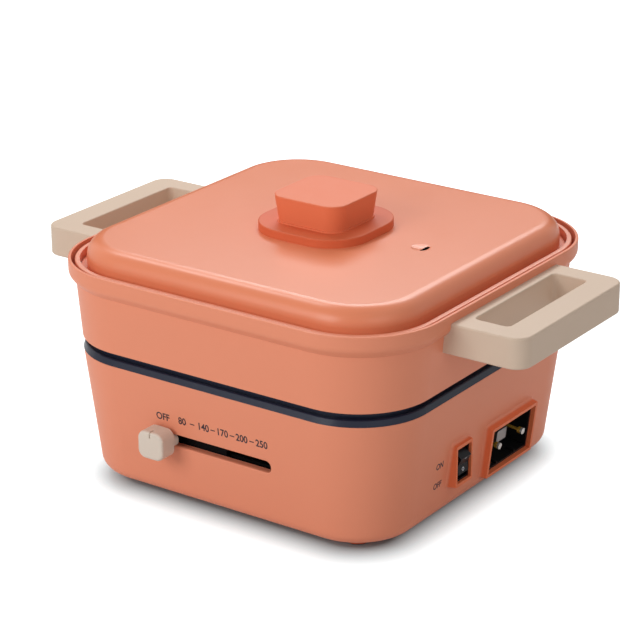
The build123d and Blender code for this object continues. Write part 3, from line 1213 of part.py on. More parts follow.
with BuildPart() as switch_body:
    with BuildSketch(Plane.YZ.offset(switch_back)):
        with Locations((SWITCH_Y, SWITCH_Z)):
            Rectangle(SWITCH_OPENING_WIDTH - switch_fit, SWITCH_OPENING_HEIGHT - switch_fit)
    extrude(amount=SWITCH_DEPTH)
    with BuildSketch(Plane.YZ.offset(SWITCH_FLANGE_X)):
        with Locations((SWITCH_Y, SWITCH_Z)):
            Rectangle(SWITCH_OPENING_WIDTH + 2 * SWITCH_FLANGE,
                      SWITCH_OPENING_HEIGHT + 2 * SWITCH_FLANGE)
    extrude(amount=-SWITCH_FLANGE_THICKNESS)
    with BuildSketch(Plane.YZ.offset(switch_front)):
        with Locations((SWITCH_Y, SWITCH_Z)):
            Rectangle(ROCKER_POCKET_WIDTH, ROCKER_POCKET_HEIGHT)
    extrude(amount=-ROCKER_POCKET_DEPTH, mode=Mode.SUBTRACT)
    with BuildSketch(Plane.XZ.offset(-SWITCH_Y)):
        with Locations((pivot_x, SWITCH_Z)):
            Circle(TRUNNION_RADIUS + TRUNNION_CLEARANCE)
    extrude(amount=ROCKER_POCKET_WIDTH / 2 + TRUNNION_REACH, both=True, mode=Mode.SUBTRACT)
switch_body.part.label = "switch_body"
export_step(switch_body.part, "parts/switch_body.step")

tilt = math.radians(ROCKER_TILT)
rocker_plane = Plane(
    origin=(pivot_x, SWITCH_Y, SWITCH_Z),
    x_dir=(math.cos(tilt), 0, -math.sin(tilt)),
    z_dir=(0, -1, 0),
)
with BuildPart() as rocker:
    with BuildSketch(rocker_plane):
        with BuildLine():
            Polyline((ROCKER_FACE, ROCKER_FACE_HEIGHT / 2), (ROCKER_VALLEY, 0),
                     (ROCKER_FACE, -ROCKER_FACE_HEIGHT / 2), (0, -ROCKER_HEIGHT / 2),
                     (-ROCKER_BACK, 0), (0, ROCKER_HEIGHT / 2), close=True)
        make_face()
    extrude(amount=ROCKER_WIDTH / 2, both=True)
    fillet(rocker.edges().filter_by(Axis.Y).group_by(Axis.X)[-1], EDGE_EASE)
    with BuildSketch(rocker_plane):
        Circle(TRUNNION_RADIUS)
    trunnion_half = ROCKER_POCKET_WIDTH / 2 + TRUNNION_REACH - HOLE_CLEARANCE
    extrude(amount=trunnion_half, both=True)
rocker.part.label = "rocker"
export_step(rocker.part, "parts/rocker.step")

with BuildPart() as switch_blades:
    with BuildSketch(Plane.YZ.offset(switch_back)):
        with Locations((SWITCH_Y, SWITCH_Z)):
            with GridLocations(0, SWITCH_OPENING_HEIGHT / 2, 1, 2):
                Rectangle(BLADE_WIDTH, BLADE_THICKNESS)
    extrude(amount=-BLADE_LENGTH)
switch_blades.part.label = "switch_blades"
export_step(switch_blades.part, "parts/switch_blades.step")

# ------------------------------------------------------------ power inlet

inlet_face = inlet_plane.offset(INLET_PROUD)
inlet_width = INLET_OPENING_WIDTH - 2 * HOLE_CLEARANCE
inlet_height = INLET_OPENING_HEIGHT - 2 * HOLE_CLEARANCE
inlet_mouth = inlet_face.offset(-INLET_SETBACK)
inlet_length = INLET_RECESS + INLET_BACK - INLET_SETBACK
inlet_floor = -inlet_height / 2 + INLET_SHELL
pin_root = inlet_face.offset(-INLET_RECESS)

with BuildPart() as inlet_housing:
    with BuildSketch(inlet_mouth):
        Rectangle(inlet_width, inlet_height)
    extrude(amount=-inlet_length)
    with BuildSketch(inlet_face):
        Rectangle(inlet_width - 2 * INLET_SHELL, inlet_height - 2 * INLET_SHELL)
    extrude(amount=-INLET_RECESS, mode=Mode.SUBTRACT)
    # Keying ribs on the floor of the recess
    with BuildSketch(inlet_mouth):
        with Locations((0, inlet_floor - INLET_SHELL / 2)):
            with GridLocations(INLET_RIB_SPREAD, 0, 2, 1):
                Rectangle(INLET_RIB_WIDTH, INLET_RIB_HEIGHT + INLET_SHELL / 2,
                          align=(Align.CENTER, Align.MIN))
    extrude(amount=-INLET_RIB_LENGTH)
    # Flange that seats against the inside of the housing's wall
    with BuildSketch(inlet_back_plane):
        Rectangle(inlet_width + 2 * INLET_FLANGE, inlet_height + 2 * INLET_FLANGE)
        with GridLocations(2 * INLET_EAR, 0, 2, 1):
            Circle(INLET_EAR_RADIUS)
            Circle(SCREW_RADIUS + HOLE_CLEARANCE, mode=Mode.SUBTRACT)
        Rectangle(inlet_width - INLET_SHELL, inlet_height - INLET_SHELL, mode=Mode.SUBTRACT)
    extrude(amount=-INLET_FLANGE)
    # Block that carries the steel keeper plate
    with BuildSketch(pin_root):
        with Locations((0, PIN_RISE)):
            Rectangle(KEEPER_WIDTH + 2 * INLET_SHELL, KEEPER_HEIGHT + 2 * INLET_SHELL)
    extrude(amount=KEEPER_BLOCK)
    with BuildSketch(pin_root):
        with Locations((0, PIN_RISE)):
            with GridLocations(PIN_SPREAD, 0, 2, 1):
                Circle(PIN_SHAFT_RADIUS + HOLE_CLEARANCE)
    extrude(amount=-INLET_BACK, mode=Mode.SUBTRACT)
inlet_housing.part.label = "inlet_housing"
export_step(inlet_housing.part, "parts/inlet_housing.step")

with BuildPart() as inlet_pins:
    with BuildSketch(pin_root.offset(-INLET_BACK - PIN_TAIL)):
        with Locations((0, PIN_RISE)):
            with GridLocations(PIN_SPREAD, 0, 2, 1):
                Circle(PIN_SHAFT_RADIUS)
    extrude(amount=PIN_TAIL + INLET_BACK + PIN_LENGTH)
    with BuildSketch(pin_root.offset(PIN_LENGTH - PIN_TIP_LENGTH)):
        with Locations((0, PIN_RISE)):
            with GridLocations(PIN_SPREAD, 0, 2, 1):
                Circle(PIN_TIP_RADIUS)
    extrude(amount=PIN_TIP_LENGTH)
inlet_pins.part.label = "inlet_pins"
export_step(inlet_pins.part, "parts/inlet_pins.step")

with BuildPart() as inlet_keeper:
    with BuildSketch(pin_root.offset(KEEPER_BLOCK)):
        with Locations((0, PIN_RISE)):
            RectangleRounded(KEEPER_WIDTH, KEEPER_HEIGHT, EDGE_EASE)
    extrude(amount=KEEPER_THICKNESS)
inlet_keeper.part.label = "inlet_keeper"
export_step(inlet_keeper.part, "parts/inlet_keeper.step")

inlet_screw_plane = inlet_back_plane.offset(-INLET_FLANGE)
ear_spots = [inlet_screw_plane.from_local_coords((side * INLET_EAR, 0, 0)) for side in (-1, 1)]
with BuildPart() as inlet_screws:
    with Locations(*[Location(Plane(origin=spot, z_dir=-inlet_screw_plane.z_dir))
                     for spot in ear_spots]):
        add(pan_screw(SCREW_RADIUS, SCREW_HEAD_RADIUS, SCREW_HEAD_HEIGHT,
                      INLET_FLANGE + INLET_SCREW_BITE))
inlet_screws.part.label = "inlet_screws"
export_step(inlet_screws.part, "parts/inlet_screws.step")

# ------------------------------------------------------------ thermal fuse

fuse_level = TRAY_FLOOR_BOTTOM - FUSE_RADIUS - HOLE_CLEARANCE
saddle_radius = FUSE_RADIUS + HOLE_CLEARANCE
clip_outside = saddle_radius + BRACKET_THICKNESS
foot_reach = FUSE_CLIP_FOOT + FUSE_CLIP_WIDTH / 2
with BuildPart() as thermal_fuse:
    with BuildSketch(Plane.YZ.offset(FUSE_X)):
        with Locations((FUSE_Y, fuse_level)):
            Circle(FUSE_RADIUS)
    extrude(amount=FUSE_LENGTH / 2, both=True)
thermal_fuse.part.label = "thermal_fuse"
export_step(thermal_fuse.part, "parts/thermal_fuse.step")

with BuildPart() as fuse_clip:
    with BuildSketch(Plane.YZ.offset(FUSE_X)):
        with Locations((FUSE_Y, fuse_level)):
            Circle(clip_outside)
        with Locations((FUSE_Y, TRAY_FLOOR_BOTTOM)):
            Rectangle(2 * clip_outside, 2 * clip_outside, align=(Align.CENTER, Align.MIN),
                      mode=Mode.SUBTRACT)
            Rectangle(2 * clip_outside, saddle_radius, align=(Align.CENTER, Align.MAX))
            Rectangle(2 * foot_reach, BRACKET_THICKNESS, align=(Align.CENTER, Align.MAX))
            Rectangle(2 * saddle_radius, saddle_radius, align=(Align.CENTER, Align.MAX),
                      mode=Mode.SUBTRACT)
        with Locations((FUSE_Y, fuse_level)):
            Circle(saddle_radius, mode=Mode.SUBTRACT)
    extrude(amount=FUSE_CLIP_WIDTH / 2, both=True)
    with BuildSketch(Plane.XY.offset(TRAY_FLOOR_BOTTOM)):
        with Locations(*fuse_holes):
            Circle(RIVET_RADIUS + HOLE_CLEARANCE)
    extrude(amount=-BRACKET_THICKNESS, mode=Mode.SUBTRACT)
fuse_clip.part.label = "fuse_clip"
export_step(fuse_clip.part, "parts/fuse_clip.step")
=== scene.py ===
import json
import math
import bpy
from mathutils import Matrix, Vector
from mathutils.bvhtree import BVHTree


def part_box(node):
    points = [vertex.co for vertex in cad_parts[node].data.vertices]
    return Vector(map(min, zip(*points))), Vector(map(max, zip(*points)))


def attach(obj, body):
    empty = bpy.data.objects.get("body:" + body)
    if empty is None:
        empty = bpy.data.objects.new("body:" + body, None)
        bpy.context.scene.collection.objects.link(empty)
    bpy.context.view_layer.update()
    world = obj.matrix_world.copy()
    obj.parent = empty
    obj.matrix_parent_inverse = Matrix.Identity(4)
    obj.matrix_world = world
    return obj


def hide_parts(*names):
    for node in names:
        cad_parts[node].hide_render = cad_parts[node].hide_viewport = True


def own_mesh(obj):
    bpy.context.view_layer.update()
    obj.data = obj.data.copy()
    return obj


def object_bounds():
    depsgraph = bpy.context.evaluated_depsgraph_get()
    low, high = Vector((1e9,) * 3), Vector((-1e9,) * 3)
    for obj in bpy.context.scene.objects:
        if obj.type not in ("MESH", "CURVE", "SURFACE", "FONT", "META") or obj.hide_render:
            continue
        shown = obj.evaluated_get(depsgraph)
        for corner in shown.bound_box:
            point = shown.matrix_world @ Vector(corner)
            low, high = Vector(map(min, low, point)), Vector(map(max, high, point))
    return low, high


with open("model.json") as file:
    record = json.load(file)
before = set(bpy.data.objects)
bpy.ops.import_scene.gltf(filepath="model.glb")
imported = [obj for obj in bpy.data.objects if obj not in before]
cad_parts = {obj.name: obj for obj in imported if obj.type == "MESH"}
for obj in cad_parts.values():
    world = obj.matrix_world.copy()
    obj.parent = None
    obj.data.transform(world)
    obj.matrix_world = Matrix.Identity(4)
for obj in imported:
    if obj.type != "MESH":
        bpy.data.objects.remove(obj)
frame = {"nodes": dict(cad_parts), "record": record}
cad_low, cad_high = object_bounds()
NODES = frame["nodes"]

# Sizes are in metres. Every level of the body and the pan is a square with rounded corners,
# and all of them turn about the same corner axes. The footprint is the body's lowest level.
CORNER_AXIS = 0.0684
FOOTPRINT_RADIUS = 0.0352


def linked(name, data):
    """A new object in the scene."""
    made = bpy.data.objects.new(name, data)
    bpy.context.scene.collection.objects.link(made)
    return made


# ------------------------------------------------------------ camera

CAMERA_PLACE = Vector((0.7428, -1.0773, 0.5973))
CAMERA_AZIMUTH = math.radians(34.74)
CAMERA_ELEVATION = math.radians(21.27)
CAMERA_LENS = 135.57
CAMERA_SENSOR = 36.0
CAMERA_CLIP_START = 0.01
CAMERA_CLIP_END = 50.0


def make_camera():
    """The camera at the viewing angle of the reference, front right and a little above."""
    data = bpy.data.cameras.new("camera")
    data.lens = CAMERA_LENS
    data.sensor_width = CAMERA_SENSOR
    data.clip_start = CAMERA_CLIP_START
    data.clip_end = CAMERA_CLIP_END
    camera = linked("camera", data)
    back = Vector((
        math.sin(CAMERA_AZIMUTH) * math.cos(CAMERA_ELEVATION),
        -math.cos(CAMERA_AZIMUTH) * math.cos(CAMERA_ELEVATION),
        math.sin(CAMERA_ELEVATION),
    ))
    camera.location = CAMERA_PLACE
    camera.rotation_mode = "QUATERNION"
    camera.rotation_quaternion = (-back).to_track_quat("-Z", "Y")
    bpy.context.scene.camera = camera


# ------------------------------------------------------------ node helpers

class NodeTree:
    """The nodes of a material or world: makes them and links their sockets."""

    def __init__(self, owner):
        owner.use_nodes = True
        self.tree = owner.node_tree

    def node(self, kind, **settings):
        made = self.tree.nodes.new(kind)
        for key, value in settings.items():
            setattr(made, key, value)
        return made

    def feed(self, socket, value):
        """Links another socket to a socket, or sets its value."""
        if isinstance(value, bpy.types.NodeSocket):
            self.tree.links.new(value, socket)
        else:
            socket.default_value = value

    def split(self, vector):
        """The x, y and z of a vector."""
        made = self.node("ShaderNodeSeparateXYZ")
        self.feed(made.inputs[0], vector)
        return list(made.outputs)

    def math(self, operation, first, second=0.0, third=0.0):
        made = self.node("ShaderNodeMath", operation=operation)
        for socket, value in zip(made.inputs, (first, second, third)):
            self.feed(socket, value)
        return made.outputs[0]

    def within(self, value, middle, half):
        """1 where a value lies within half of middle, otherwise 0."""
        return self.math("LESS_THAN", self.math("ABSOLUTE", self.math("SUBTRACT", value, middle)),
                         half)

    def all_of(self, *masks):
        """1 where every mask is 1."""
        total = masks[0]
        for mask in masks[1:]:
            total = self.math("MULTIPLY", total, mask)
        return total

    def between(self, value, low, high, start=0.0, end=1.0, smooth=False):
        """Turns a value that runs from start to end into one that runs from low to high."""
        made = self.node("ShaderNodeMapRange")
        if smooth:
            made.interpolation_type = "SMOOTHSTEP"
        self.feed(made.inputs["Value"], value)
        for name, limit in (("From Min", start), ("From Max", end), ("To Min", low),
                            ("To Max", high)):
            made.inputs[name].default_value = limit
        return made.outputs["Result"]

    def beyond_axes(self, place):
        """How far a place lies sideways from the square that joins the corner axes."""
        over = [self.math("MAXIMUM", self.math("SUBTRACT", self.math("ABSOLUTE", side), CORNER_AXIS))
                for side in place[:2]]
        squares = [self.math("MULTIPLY", side, side) for side in over]
        return self.math("SQRT", self.math("ADD", *squares))

    def seen_by(self, *rays):
        """1 for the named kinds of ray, otherwise 0."""
        path = self.node("ShaderNodeLightPath")
        seen = path.outputs[rays[0]]
        for ray in rays[1:]:
            seen = self.math("MAXIMUM", seen, path.outputs[ray])
        return seen


class Shader(NodeTree):
    """A Principled material under construction, textured in the object's own coordinates."""

    def __init__(self, name):
        self.material = bpy.data.materials.new(name)
        super().__init__(self.material)
        self.principled = self.tree.nodes["Principled BSDF"]
        self.place = self.node("ShaderNodeTexCoord").outputs["Object"]

    def set(self, **values):
        """Sets Principled sockets; an underscore in a name stands for a space."""
        for key, value in values.items():
            self.feed(self.principled.inputs[key.replace("_", " ")], value)

    def noise(self, scale, detail=2.0, roughness=0.5, place=None):
        made = self.node("ShaderNodeTexNoise")
        made.inputs["Scale"].default_value = scale
        made.inputs["Detail"].default_value = detail
        made.inputs["Roughness"].default_value = roughness
        self.feed(made.inputs["Vector"], place or self.place)
        return made.outputs["Fac"]

    def stretched(self, scale):
        """The object's coordinates, stretched along each axis."""
        made = self.node("ShaderNodeMapping")
        made.inputs["Scale"].default_value = scale
        self.feed(made.inputs["Vector"], self.place)
        return made.outputs["Vector"]

    def mix(self, fac, first, second):
        """A colour between two colours."""
        made = self.node("ShaderNodeMix", data_type="RGBA")
        self.feed(made.inputs["Factor"], fac)
        self.feed(made.inputs["A"], first)
        self.feed(made.inputs["B"], second)
        return made.outputs["Result"]

    def varied(self, colour, spread, scale):
        """A colour that drifts a little lighter and darker over the surface."""
        cloud = self.noise(scale, detail=3.0)
        return self.mix(cloud, shade(colour, 1 - spread), shade(colour, 1 + spread))

    def paint_over(self, mask, colour):
        """Puts a second colour over the first one where the mask is 1."""
        under = self.principled.inputs["Base Color"].links[0].from_socket
        self.set(Base_Color=self.mix(mask, under, colour))

    def bump(self, height, strength, distance, normal=None):
        made = self.node("ShaderNodeBump")
        made.inputs["Strength"].default_value = strength
        made.inputs["Distance"].default_value = distance
        self.feed(made.inputs["Height"], height)
        if normal is not None:
            self.feed(made.inputs["Normal"], normal)
        return made.outputs["Normal"]


def linear(red, green, blue):
    """An sRGB colour of 0 to 255 as the linear colour that a shader takes."""
    def channel(value):
        value /= 255
        return value / 12.92 if value <= 0.04045 else ((value + 0.055) / 1.055) ** 2.4
    return (channel(red), channel(green), channel(blue), 1.0)


def shade(colour, factor):
    """A colour made darker or lighter by a factor."""
    return tuple(min(1.0, part * factor) for part in colour[:3]) + (1.0,)


# ------------------------------------------------------------ finishes

# Noise scales are in waves per metre
PAINT_CLOUDS = 9.0
PAINT_SMUDGES = 60.0
PAINT_WAVES = 420.0
PAINT_WAVE_DEPTH = 0.0004
PAINT_GRAINS = 3200.0
PAINT_GRAIN_DEPTH = 0.0001
PAINT_GLOSS_DRIFT = 0.03
PAINT_SPREAD = 0.025

PLASTIC_CLOUDS = 14.0
PLASTIC_SMUDGES = 90.0
PLASTIC_SINKS = 25.0
PLASTIC_SINK_DEPTH = 0.0015
PLASTIC_SINK_STRENGTH = 0.05
PLASTIC_GRAINS = 2600.0
PLASTIC_GRAIN_DEPTH = 0.0002
PLASTIC_GRAIN_ROUGHNESS = 0.7
PLASTIC_GLOSS_DRIFT = 0.04
PLASTIC_SPREAD = 0.03

METAL_CLOUDS = 60.0
METAL_SMUDGES = 140.0
METAL_LINES = 1500.0
METAL_LINE_DEPTH = 0.0001
METAL_LINE_STRENGTH = 0.12
METAL_GLOSS_GAIN = 0.07
METAL_GLOSS_LOSS = 0.09
METAL_SPREAD = 0.06
# How dense a metal's lines are along each axis
EVEN = (1.0, 1.0, 1.0)
DRAWN = (0.2, 1.0, 1.0)


def painted(name, colour, roughness, gloss, spread=PAINT_SPREAD, peel=0.08, grain=0.06):
    """Sprayed satin enamel: slight colour drift and orange peel."""
    shader = Shader(name)
    shader.set(Base_Color=shader.varied(colour, spread, PAINT_CLOUDS),
               Roughness=shader.between(shader.noise(PAINT_SMUDGES), roughness - PAINT_GLOSS_DRIFT,
                                        roughness + PAINT_GLOSS_DRIFT),
               Specular_IOR_Level=gloss)
    waves = shader.bump(shader.noise(PAINT_WAVES, detail=1.0), peel, PAINT_WAVE_DEPTH)
    shader.set(Normal=shader.bump(shader.noise(PAINT_GRAINS, detail=0.0), grain,
                                  PAINT_GRAIN_DEPTH, waves))
    return shader


def moulded(name, colour, roughness, grain=0.12, gloss=0.5):
    """Moulded plastic with the fine spark-eroded grain of its tool."""
    shader = Shader(name)
    shader.set(Base_Color=shader.varied(colour, PLASTIC_SPREAD, PLASTIC_CLOUDS),
               Roughness=shader.between(shader.noise(PLASTIC_SMUDGES),
                                        roughness - PLASTIC_GLOSS_DRIFT,
                                        roughness + PLASTIC_GLOSS_DRIFT),
               Specular_IOR_Level=gloss)
    sink = shader.bump(shader.noise(PLASTIC_SINKS, detail=1.0), PLASTIC_SINK_STRENGTH,
                       PLASTIC_SINK_DEPTH)
    grains = shader.noise(PLASTIC_GRAINS, roughness=PLASTIC_GRAIN_ROUGHNESS)
    shader.set(Normal=shader.bump(grains, grain, PLASTIC_GRAIN_DEPTH, sink))
    return shader


def metal(name, colour, roughness, stretch=EVEN):
    """Bare or plated metal with fine drawing lines and smudges in its gloss."""
    shader = Shader(name)
    lines = shader.noise(METAL_LINES, place=shader.stretched(stretch))
    smudge = shader.noise(METAL_SMUDGES, detail=3.0)
    shader.set(Base_Color=shader.varied(colour, METAL_SPREAD, METAL_CLOUDS), Metallic=1.0,
               Roughness=shader.between(smudge, roughness - METAL_GLOSS_GAIN,
                                        roughness + METAL_GLOSS_LOSS),
               Normal=shader.bump(lines, METAL_LINE_STRENGTH, METAL_LINE_DEPTH))
    return shader


SALMON = linear(233, 146, 114)
LID_SALMON = linear(232, 136, 97)
# Painted shade: the darker, richer orange of the frames' concave flanks and of the walls inside
# their openings
FRAME_SHADE_ORANGE = linear(236, 124, 80)
KNOB_ORANGE = linear(231, 124, 85)
# Painted shade: the knob's seat is the knob's plastic, made darker for the shade the knob throws on
# it
SEAT_SHADED_ORANGE = linear(214, 104, 66)
BEIGE = linear(214, 191, 170)
SLIDER_BEIGE = linear(219, 205, 190)
NAVY = linear(22, 28, 47)
COATING = linear(44, 43, 45)
COATING_FLECK = linear(92, 90, 90)
# Painted shade for the steam slot's cut walls, so that the hole reads dark
SLOT_PAINTED_SHADE = linear(30, 14, 10)
GILT = linear(226, 178, 74)
PIN_SILVER = linear(205, 204, 200)

# The two colours of the pan meet halfway through its thin wall, which flares towards the neck
PAN_HALF_WALL = 0.0012
PAN_FLOOR_HALF = 0.0985
PAN_NECK_HALF = 0.112
PAN_NECK_HEIGHT = 0.049
PAN_BARE_RIM = 0.0078
COATING_FLECKS = 1400.0
COATING_FLECK_LEVEL = 0.66
COATING_GRAINS = 900.0
COATING_GRAIN_DEPTH = 0.0002
COATING_GRAIN_STRENGTH = 0.1
PAN_SMUDGES = 70.0
PAN_ROUGHNESS = (0.36, 0.42)
PAN_COAT = 0.15
PAN_COAT_ROUGHNESS = 0.25


def pan_finish():
    """The pan: enamelled outside and over its rim, dark non-stick coating in the bowl."""
    shader = Shader("pan_enamel")
    low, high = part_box("pot")
    place = shader.split(shader.place)
    rise = shader.math("SUBTRACT", place[2], low.z)
    slope = (PAN_NECK_HALF - PAN_FLOOR_HALF) / PAN_NECK_HEIGHT
    mid_wall = shader.math("MULTIPLY_ADD", rise, slope,
                           PAN_FLOOR_HALF - PAN_HALF_WALL - CORNER_AXIS)
    bowl = shader.all_of(shader.math("LESS_THAN", shader.beyond_axes(place), mid_wall),
                         shader.math("GREATER_THAN", rise, PAN_HALF_WALL),
                         shader.math("LESS_THAN", rise, high.z - low.z - PAN_BARE_RIM))
    fleck = shader.math("GREATER_THAN", shader.noise(COATING_FLECKS, detail=1.0),
                        COATING_FLECK_LEVEL)
    shader.set(Base_Color=shader.varied(SALMON, PAINT_SPREAD, PAINT_CLOUDS),
               Roughness=shader.between(shader.noise(PAN_SMUDGES), *PAN_ROUGHNESS),
               Coat_Weight=PAN_COAT, Coat_Roughness=PAN_COAT_ROUGHNESS,
               Normal=shader.bump(shader.noise(COATING_GRAINS, detail=1.0),
                                  COATING_GRAIN_STRENGTH, COATING_GRAIN_DEPTH))
    shader.paint_over(bowl, shader.mix(fleck, COATING, COATING_FLECK))
    return shader


# How far the wall leans out over its whole height, and the part of it that holds the frames
HOUSING_DRAFT = 0.0092
FRAMES_START_X = 0.09
FRAMES_HALF_SPAN = 0.055
FRAMES_MIDDLE = 0.0313
FRAMES_HALF_HEIGHT = 0.0158
FRAME_EDGE_START = 0.0002
FRAME_EDGE_END = 0.0022


def housing_finish():
    """The lower body: enamel, with painted shade (a darker, richer orange) on the frames and inside
    the openings of its right wall.
    """
    shader = painted("housing_enamel", SALMON, 0.42, gloss=0.2, peel=0.1)
    low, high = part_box("housing")
    x, y, z = shader.split(shader.place)
    slope = HOUSING_DRAFT / (high.z - low.z)
    wall = shader.math("MULTIPLY_ADD", shader.math("SUBTRACT", z, low.z), slope,
                       CORNER_AXIS + FOOTPRINT_RADIUS)
    frames = shader.all_of(shader.within(z, FRAMES_MIDDLE, FRAMES_HALF_HEIGHT),
                           shader.within(y, 0.0, FRAMES_HALF_SPAN),
                           shader.math("GREATER_THAN", x, FRAMES_START_X))
    # The frames and the walls inside their openings get painted shade, for the shade that gathers in
    # these concave corners and recesses
    outward = shader.math("SUBTRACT", x, wall)
    inward = shader.math("MULTIPLY", frames, shader.math("SUBTRACT", wall, x))
    painted_shade = shader.between(shader.math("MAXIMUM", outward, inward), 0.0, 1.0,
                            start=FRAME_EDGE_START, end=FRAME_EDGE_END, smooth=True)
    shader.paint_over(painted_shade, FRAME_SHADE_ORANGE)
    return shader


STEAM_SLOT_X = 0.067
STEAM_SLOT_HALF_SIZE = (0.0021, 0.0045)
# The slot's cut walls are the faces whose normals rise or fall less than this
CUT_WALL_RISE = 0.5


def lid_finish():
    """The lid: glossy enamel, with painted shade on the cut walls of the steam slot."""
    shader = painted("lid_enamel_finish", LID_SALMON, 0.32, gloss=0.4, peel=0.02, grain=0.015)
    place = shader.split(shader.place)
    facing = shader.split(shader.node("ShaderNodeNewGeometry").outputs["True Normal"])
    slot = shader.all_of(shader.within(place[0], STEAM_SLOT_X, STEAM_SLOT_HALF_SIZE[0]),
                         shader.within(place[1], 0.0, STEAM_SLOT_HALF_SIZE[1]),
                         shader.within(facing[2], 0.0, CUT_WALL_RISE))
    # Paints the slot's cut walls dark: painted shade for the deep, narrow hole
    shader.paint_over(slot, SLOT_PAINTED_SHADE)
    return shader


PIN_TIP_LENGTH = 0.0014
PIN_SMUDGES = 500.0
PIN_ROUGHNESS = (0.2, 0.32)
PIN_METALLIC = 0.6


def pin_finish():
    """The inlet's pins: gilt shafts with bright tips."""
    shader = Shader("pin_plating")
    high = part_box("inlet_pins")[1]
    tip = shader.math("GREATER_THAN", shader.split(shader.place)[0], high.x - PIN_TIP_LENGTH)
    shader.set(Base_Color=shader.mix(tip, GILT, PIN_SILVER), Metallic=PIN_METALLIC,
               Roughness=shader.between(shader.noise(PIN_SMUDGES), *PIN_ROUGHNESS))
    return shader


def make_finishes():
    """Every finish of the part, by the record's material slot and by node."""
    by_slot = {
        "salmon_enamel": painted("salmon_enamel_finish", SALMON, 0.42, gloss=0.2),
        "lid_enamel": lid_finish(),
        "pot_coating": pan_finish(),
        "knob_plastic": moulded("knob_finish", KNOB_ORANGE, 0.5, gloss=0.3),
        "beige_plastic": moulded("beige_finish", BEIGE, 0.48, gloss=0.15),
        "navy_enamel": painted("ring_enamel_finish", NAVY, 0.3, gloss=0.3, spread=0.1),
        "cover_plastic": moulded("cover_finish", linear(190, 92, 62), 0.5),
        "black_plastic": moulded("black_finish", linear(13, 13, 14), 0.4, gloss=0.3),
        "switch_plastic": moulded("switch_finish", linear(8, 8, 14), 0.3, grain=0.06, gloss=0.12),
        "slide_plastic": moulded("slide_finish", linear(9, 9, 10), 0.6, gloss=0.1),
        "gear_plastic": moulded("acetal_finish", linear(232, 229, 216), 0.35, grain=0.05),
        "rubber": moulded("rubber_finish", linear(24, 23, 23), 0.75, grain=0.25),
        "element_steel": metal("element_finish", linear(104, 96, 90), 0.42, stretch=DRAWN),
        "plated_steel": metal("plated_finish", linear(172, 174, 176), 0.38),
        "spring_steel": metal("spring_finish", linear(186, 186, 188), 0.26),
        "aluminium": metal("aluminium_finish", linear(172, 173, 175), 0.46),
        "brass": metal("brass_finish", linear(214, 178, 98), 0.28),
        "ceramic": moulded("ceramic_finish", linear(232, 228, 214), 0.6, grain=0.3),
        "bakelite": moulded("bakelite_finish", linear(58, 40, 30), 0.38, grain=0.06),
    }
    by_node = {
        "housing": housing_finish(),
        "inlet_keeper": metal("keeper_finish", linear(150, 150, 150), 0.36),
        "inlet_pins": pin_finish(),
        # The seat's darker orange is painted shade from the knob above it
        "lid_knob_seat": moulded("seat_shade_finish", SEAT_SHADED_ORANGE, 0.5, gloss=0.25),
        "slide_knob": moulded("slider_finish", SLIDER_BEIGE, 0.45, gloss=0.35),
    }
    return by_slot, by_node


def dress(by_slot, by_node):
    """Gives every CAD node its own finish, or else the one of its slot."""
    for sub in frame["record"]["subparts"]:
        name = sub["node"]
        finish = by_node.get(name, by_slot[sub["material_slot"]])
        wear(NODES[name].data, finish)


def wear(mesh, finish):
    """Gives a mesh one finish all over."""
    mesh.materials.clear()
    mesh.materials.append(finish.material)


# ------------------------------------------------------------ sensor spring


def make_spring(finish):
    """The sensor's spring: a copy of its mesh that rides on the base, in place of the CAD node."""
    mesh = NODES["sensor_spring"].data.copy()
    wear(mesh, finish)
    wire = linked("sensor_spring_wire", mesh)
    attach(wire, "base")
    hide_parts("sensor_spring")
    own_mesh(wire)


# ------------------------------------------------------------ lettering and marks

UP = Vector((0, 0, 1))
FROM_FRONT = Vector((0, 1, 0))
FROM_RIGHT = Vector((-1, 0, 0))
RAY_LEAD = 0.05

PRINT_THICKNESS = 0.00005
LETTER_NARROWING = 0.88
LETTER_WEIGHT = 0.00012
CAPITAL_SHARE = 0.72

# The slider's scale: each text or dash by its place along the wall, and a text's shift in height
DIGIT_HEIGHT = 0.0044
SCALE_HEIGHT = 0.0575
SCALE_TEXTS = [("OFF", -0.0351, -0.0004), ("80", -0.0215, 0.0), ("140", -0.0068, 0.0),
               ("170", 0.0064, 0.0), ("200", 0.0197, 0.0), ("250", 0.0332, 0.0)]
SCALE_DASHES = [-0.0145, -0.0002, 0.0131, 0.0265]
DASH_SIZE = (0.0031, 0.0006)

# The switch's texts and marks: their rise over the rocker's middle, and the texts' shift beside it
SWITCH_LETTER_HEIGHT = 0.0038
SWITCH_TEXTS = [("ON", 0.0042), ("OFF", -0.008)]
SWITCH_TEXT_SHIFT = -0.0192
OFF_RING_RISE = -0.0037
ON_BAR_RISE = 0.0033
OFF_RING_RADII = (0.0011, 0.00075)
ON_BAR_SIZE = (0.0018, 0.0004)
RING_STEPS = 32


def tree_of(node):
    """A search tree of a CAD node's surface."""
    mesh = NODES[node].data
    return BVHTree.FromPolygons([v.co for v in mesh.vertices], [p.vertices for p in mesh.polygons])


def seat_on(tree, start, direction):
    """The place and turn of an upright print on the surface that a ray meets first."""
    point, normal = tree.ray_cast(start, direction)[:2]
    if normal.dot(direction) > 0:
        normal = -normal
    across = UP.cross(normal).normalized()
    turn = Matrix((across, normal.cross(across), normal)).transposed().to_4x4()
    return Matrix.Translation(point + normal * PRINT_THICKNESS / 2) @ turn


